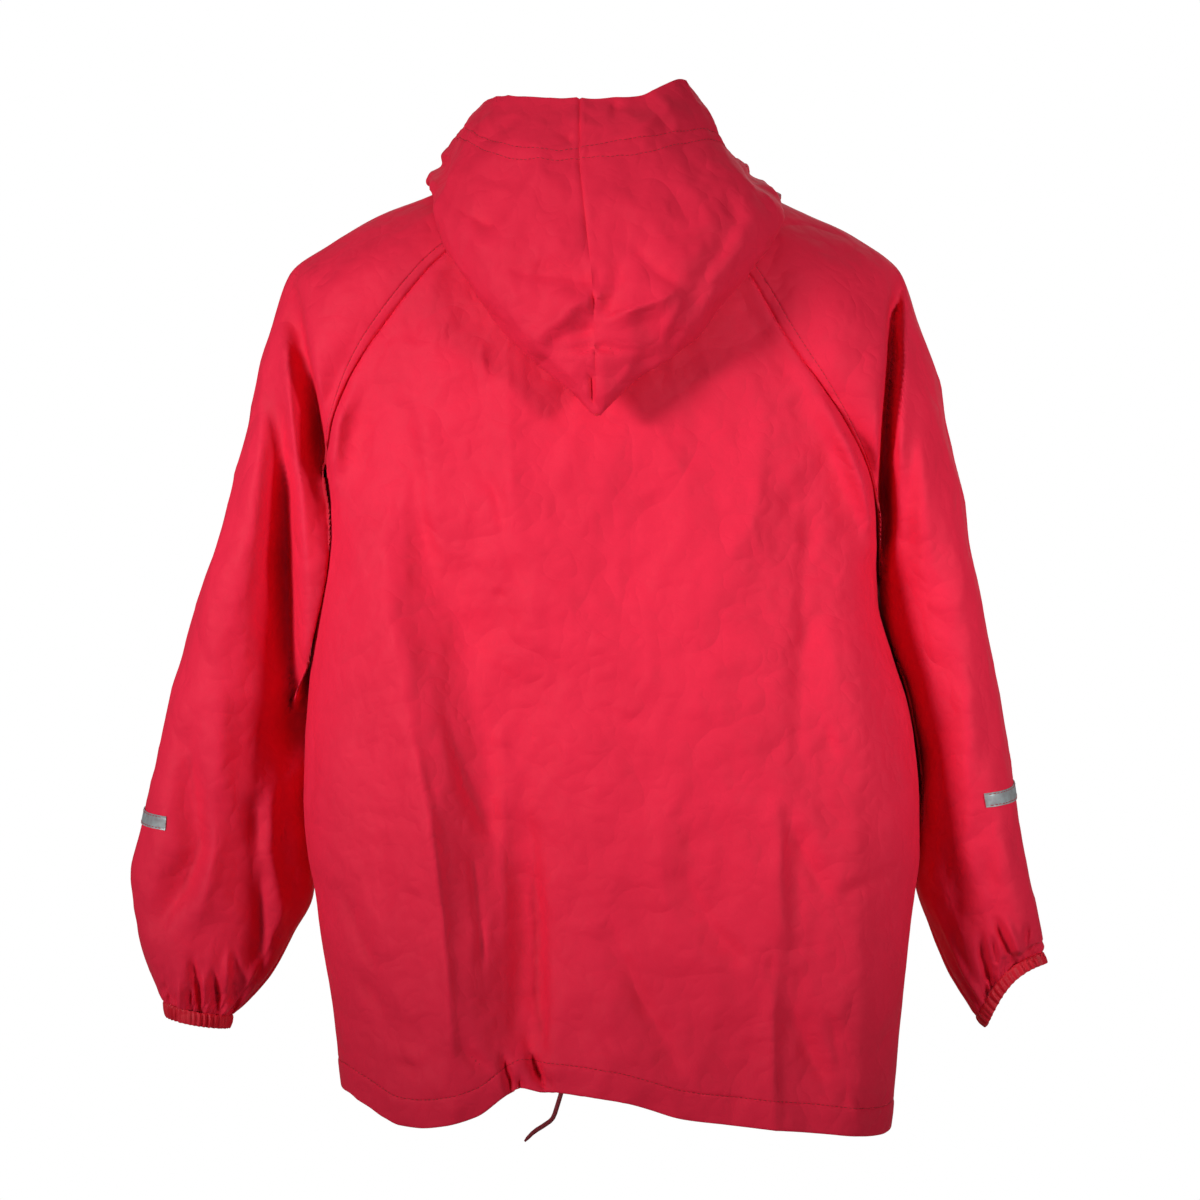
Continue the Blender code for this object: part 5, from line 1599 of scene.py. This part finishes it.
def flap_piece(fronts):
    """The storm flap's cloth, lying on both fronts."""
    left, right = fronts
    rows = []
    last = len(left.grid) - len(HEM_STEPS) + FLAP_FIRST_ROW
    x = np.concatenate([-FLAP_HALF + FLAP_STEPS, FLAP_MIDDLE, FLAP_HALF - FLAP_STEPS[::-1]])
    for i in range(FLAP_FIRST_ROW, last):
        whole = np.concatenate([left.grid[i], right.grid[i]])
        whole = whole[np.argsort(whole[:, 0])]
        y, z = (np.interp(x, whole[:, 0], whole[:, k]) for k in (1, 2))
        rows.append(np.stack([x, y, -z], axis=1))
    places = np.repeat((x + FLAP_HALF)[None], len(rows), axis=0)
    flap = Cloth("storm_flap_cloth", np.array(rows), places, away_from=INSIDE)
    stitched = np.interp(flap.seam(), FLAP_STEPS, FLAP_PROFILE)
    bowed = FLAP_BOW * np.cos(np.pi * (flap.first / FLAP_HALF - 1) / 2)
    crumpled = FLAP_CRUMPLED * crumple(flap.grid + ELSEWHERE)
    flap.raise_by(FLAP_LIFT + FLAP_WALL + stitched + bowed + crumpled)
    flap.renew()
    return flap


def strip_piece(side, sleeve):
    """A piece of reflective tape round the outer side of a lower sleeve."""
    first, last, start, end, slope = STRIPS[side]
    share = np.linspace(start, end, TAPE_COLUMNS)
    level = np.linspace(first, last, TAPE_ROWS)[:, None] + slope * (0.5 - share[None])
    rows = np.interp(level, SLEEVE_LEVELS, np.arange(len(SLEEVE_LEVELS)))
    order = slice(None, None, -1 if sleeve.turned else 1)
    number = np.arange(sleeve.at.shape[1])[order]
    cols = np.empty(rows.shape)
    for i, j in np.ndindex(rows.shape):
        row = int(rows[i, j])
        cols[i, j] = np.interp(share[j] * sleeve.length[row, 0], sleeve.at[row][order], number)
    points, normals = sampled(sleeve, rows, cols)
    strip = Cloth(f"reflective_tape_{side}", points * (1, 1, -1), row_places(points))
    if (strip.normals * (normals if not strip.turned else normals[:, ::-1])).sum() < 0:
        strip.grid = strip.grid[:, ::-1]
        strip.renew()
    height = np.full((TAPE_ROWS, 1), TAPE_LIFT)
    across_tape = np.linspace(0, 1, TAPE_ROWS)[:, None]
    strip.raise_by(height - sum(bell(across_tape - at, *TAPE_DENT) for at, _ in TAPE_STITCHES))
    strip.renew()
    return strip


def deselected():
    """Leave no object selected."""
    for thing in bpy.context.scene.objects:
        thing.select_set(False)


def press_stud(name, middle, outward, plastic):
    """A press stud's cap: a turned disc with a rolled rim, a dish and a domed middle."""
    deselected()
    bpy.ops.mesh.primitive_cylinder_add(
        vertices=48, radius=STUD_RADIUS * MM, depth=STUD_DEPTH * MM, location=(0, 0, 0)
    )
    stud = bpy.context.object
    stud.name = name
    bpy.ops.object.mode_set(mode="EDIT")
    shape = bmesh.from_edit_mesh(stud.data)
    for f in shape.faces:
        f.select = f.normal.z > 0.9
    bmesh.update_edit_mesh(stud.data)
    for inward, rise in STUD_FACE:
        bpy.ops.mesh.inset(thickness=inward * MM)
        bpy.ops.transform.translate(value=(0, 0, rise * MM))
    bpy.ops.object.mode_set(mode="OBJECT")
    rounding = stud.modifiers.new("rounding", "BEVEL")
    rounding.width = STUD_ROUNDING * MM
    rounding.segments = 3
    rounding.limit_method = "ANGLE"
    rounding.angle_limit = math.radians(25)
    bpy.ops.object.modifier_apply(modifier=rounding.name)
    turned = Vector((0, 0, 1)).rotation_difference(Vector(outward)).to_matrix().to_4x4()
    stud.data.transform(Matrix.Translation(Vector(middle) * MM) @ turned)
    stud.data.materials.append(plastic)
    stud.data.shade_smooth()
    stud.data.set_sharp_from_angle(angle=math.radians(40))
    return stud


def drawstring(cord_material):
    """The hem drawstring's free end, thinner at its tip."""
    curve = bpy.data.curves.new("drawstring_end", "CURVE")
    curve.dimensions = "3D"
    curve.bevel_depth = CORD_RADIUS * MM
    curve.bevel_resolution = 4
    curve.use_fill_caps = True
    line = smooth_line(DRAWSTRING, np.linspace(0, 1, CORD_POINTS)) * (1, 1, -1)
    spline = curve.splines.new("POLY")
    spline.points.add(len(line) - 1)
    thickness = np.interp(np.linspace(0, 1, len(line)), *CORD_TAPER)
    for point, place, radius in zip(spline.points, line, thickness):
        point.co = (*(place * MM), 1)
        point.radius = radius
    curve.materials.append(cord_material)
    made = in_scene("drawstring_end", curve)
    return made


def area_light(name, place, target, wide, high, power, spread_degrees):
    """A rectangular light aimed at its target."""
    data = bpy.data.lights.new(name, "AREA")
    data.shape = "RECTANGLE"
    data.size = wide
    data.size_y = high
    data.energy = power
    data.spread = math.radians(spread_degrees)
    made = in_scene(name, data)
    made.location = place
    aim = Vector(target) - Vector(place)
    made.rotation_euler = aim.to_track_quat("-Z", "Y").to_euler()


def studio():
    """White surroundings, narrow lights from both sides, soft ones, floor and camera."""
    scene = bpy.context.scene
    world = bpy.data.worlds.new("studio")
    scene.world = world
    world.use_nodes = True
    tree = world.node_tree
    tree.nodes.clear()
    white = {"Color": (1, 1, 1, 1)}
    lit = linked(tree, "ShaderNodeBackground", {**white, "Strength": WORLD_LIGHT})
    shown = linked(tree, "ShaderNodeBackground", {**white, "Strength": 1.0})
    path = linked(tree, "ShaderNodeLightPath")
    shares = {0: path.outputs["Is Camera Ray"], 1: lit.outputs[0], 2: shown.outputs[0]}
    both = linked(tree, "ShaderNodeMixShader", shares)
    linked(tree, "ShaderNodeOutputWorld", {"Surface": both.outputs[0]})
    for name, facts in LIGHTS.items():
        area_light(name, *facts)
    deselected()
    bpy.ops.mesh.primitive_circle_add(
        vertices=96, radius=FLOOR_RADIUS, fill_type="NGON", location=(0, 0, 0)
    )
    floor = bpy.context.object
    floor.name = "floor"
    floor.data.transform(Matrix.Translation((0, 0, FLOOR)))
    floor.data.materials.append(floor_paint())
    camera = bpy.data.cameras.new("camera")
    camera.sensor_width = SENSOR
    camera.lens = SENSOR * EYE / PICTURE_WIDTH
    eye = in_scene("camera", camera)
    eye.location = (0, -EYE * MM, -EYE_DOWN * MM)
    eye.rotation_euler = (math.pi / 2, 0, 0)
    scene.camera = eye
    scene.view_settings.view_transform = "Standard"


def declare(made, nodes):
    """State the piece's body and the solids it replaces."""
    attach(made, "root")
    if nodes:
        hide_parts(*nodes)


def sewn_lines(sleeves, panels, flap, strips):
    """The rows of stitches by the sewing's name, each a line of points and its normals."""

    def line(piece, rows, cols):
        return piece.grid[rows, cols], piece.normals[rows, cols]

    seam = SEAM_STEPS.index(SEAM_STITCH)
    hem = HEM_STEPS.index(HEM_STITCH) - len(HEM_STEPS)
    inner, near_seam = slice(2, -2), slice(2, UNDERARM_ROW - 4)
    return {
        "raglan_sewing": [line(s, near_seam, j) for s in sleeves for j in (seam, -1 - seam)],
        "hem_sewing": [line(p, hem, slice(4, -4)) for p in panels],
        "flap_sewing": [line(flap, inner, j) for j in (3, 8, -4, -9)],
        "tape_sewing": [line(s, row, inner) for s in strips for _, row in TAPE_STITCHES],
    }


def add_studs(flap):
    """A press stud in place of each of the solids."""
    plastic = stud_plastic()
    tree = tree_of([flap], 1)
    for i in range(5):
        node = f"press_stud_{i + 1}"
        low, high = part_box(node)
        middle = (np.array(low) + np.array(high)) / 2 / MM
        where, normal, _, _ = tree.find_nearest(Vector(middle))
        outward = normal if normal.y > 0 else -normal
        place = np.array(where) + np.array(outward) * STUD_LIFT
        declare(press_stud(f"stud_cap_{i + 1}", place, outward, plastic), [node])


def build():
    """Shape all the pieces, then make and declare their objects."""
    sides = ("left", "right")
    back, fronts = body_pieces()
    sleeves, cuffs = sleeve_pieces()
    body = [back] + fronts + sleeves
    share_normals(body + cuffs)
    fill_out([back] + sleeves, RAGLAN_FILLS)
    share_normals(body + cuffs)
    neckline = np.concatenate([piece.grid[0] for piece in body]) * (1, 1, -1)
    shape_body(back, fronts)
    shape_sleeves(sleeves, cuffs)
    halves, beyond_fold = hood_pieces(neckline, body)
    share_normals(halves)
    hood_lines = shape_hood(halves, beyond_fold)
    flap = flap_piece(fronts)
    strips = [strip_piece(side, sleeve) for side, sleeve in zip(sides, sleeves)]
    sewing = sewn_lines(sleeves, [back] + fronts, flap, strips)
    sewing["hood_sewing"] = hood_lines

    outside, inside, gathered = (coated_cloth(name, *look) for name, look in CLOTHS.items())
    cloth, tape, thread = (outside, inside), reflective_tape(), sewing_thread()
    hem_walls = np.full(len(back.grid), CLOTH)
    hem_walls[-len(HEM_STEPS) :] = np.interp(-np.array(HEM_STEPS), *HEM_WALLS)
    made = cloth_object(back, cloth, hem_walls, curl=True, close=True)
    declare(made, ["back"])
    for side, front, sleeve, cuff, half, strip in zip(sides, fronts, sleeves, cuffs, halves, strips):
        declare(cloth_object(front, cloth, hem_walls, curl=True), [f"front_{side}"])
        nodes = [f"sleeve_{side}_upper", f"sleeve_{side}_lower"]
        declare(cloth_object(sleeve, cloth, close=True), nodes)
        cuff_walls = np.full(len(cuff.grid), CUFF_WALL)
        made = cloth_object(cuff, (gathered, inside), cuff_walls, curl=True)
        declare(made, [f"cuff_{side}"])
        half_walls = np.full(len(half.grid), CLOTH)
        half_walls[-HOOD_RIM_ROWS:] = np.linspace(CLOTH, HOOD_RIM_WALL, HOOD_RIM_ROWS)
        made = cloth_object(half, cloth, half_walls, curl=True, close=True)
        declare(made, [f"hood_{side}"])
        made = cloth_object(strip, (tape, tape), np.full(len(strip.grid), TAPE_WALL))
        declare(made, [f"reflective_strip_{side}"])
    made = cloth_object(flap, cloth, np.full(len(flap.grid), FLAP_WALL))
    declare(made, ["storm_flap"])
    for name, lines in sewing.items():
        pairs = [pair for line in lines for pair in stitch_line(*line)]
        declare(stitches(name, pairs, thread), [])
    add_studs(flap)
    declare(drawstring(braided_cord()), ["hem_drawstring"])
    studio()


build()
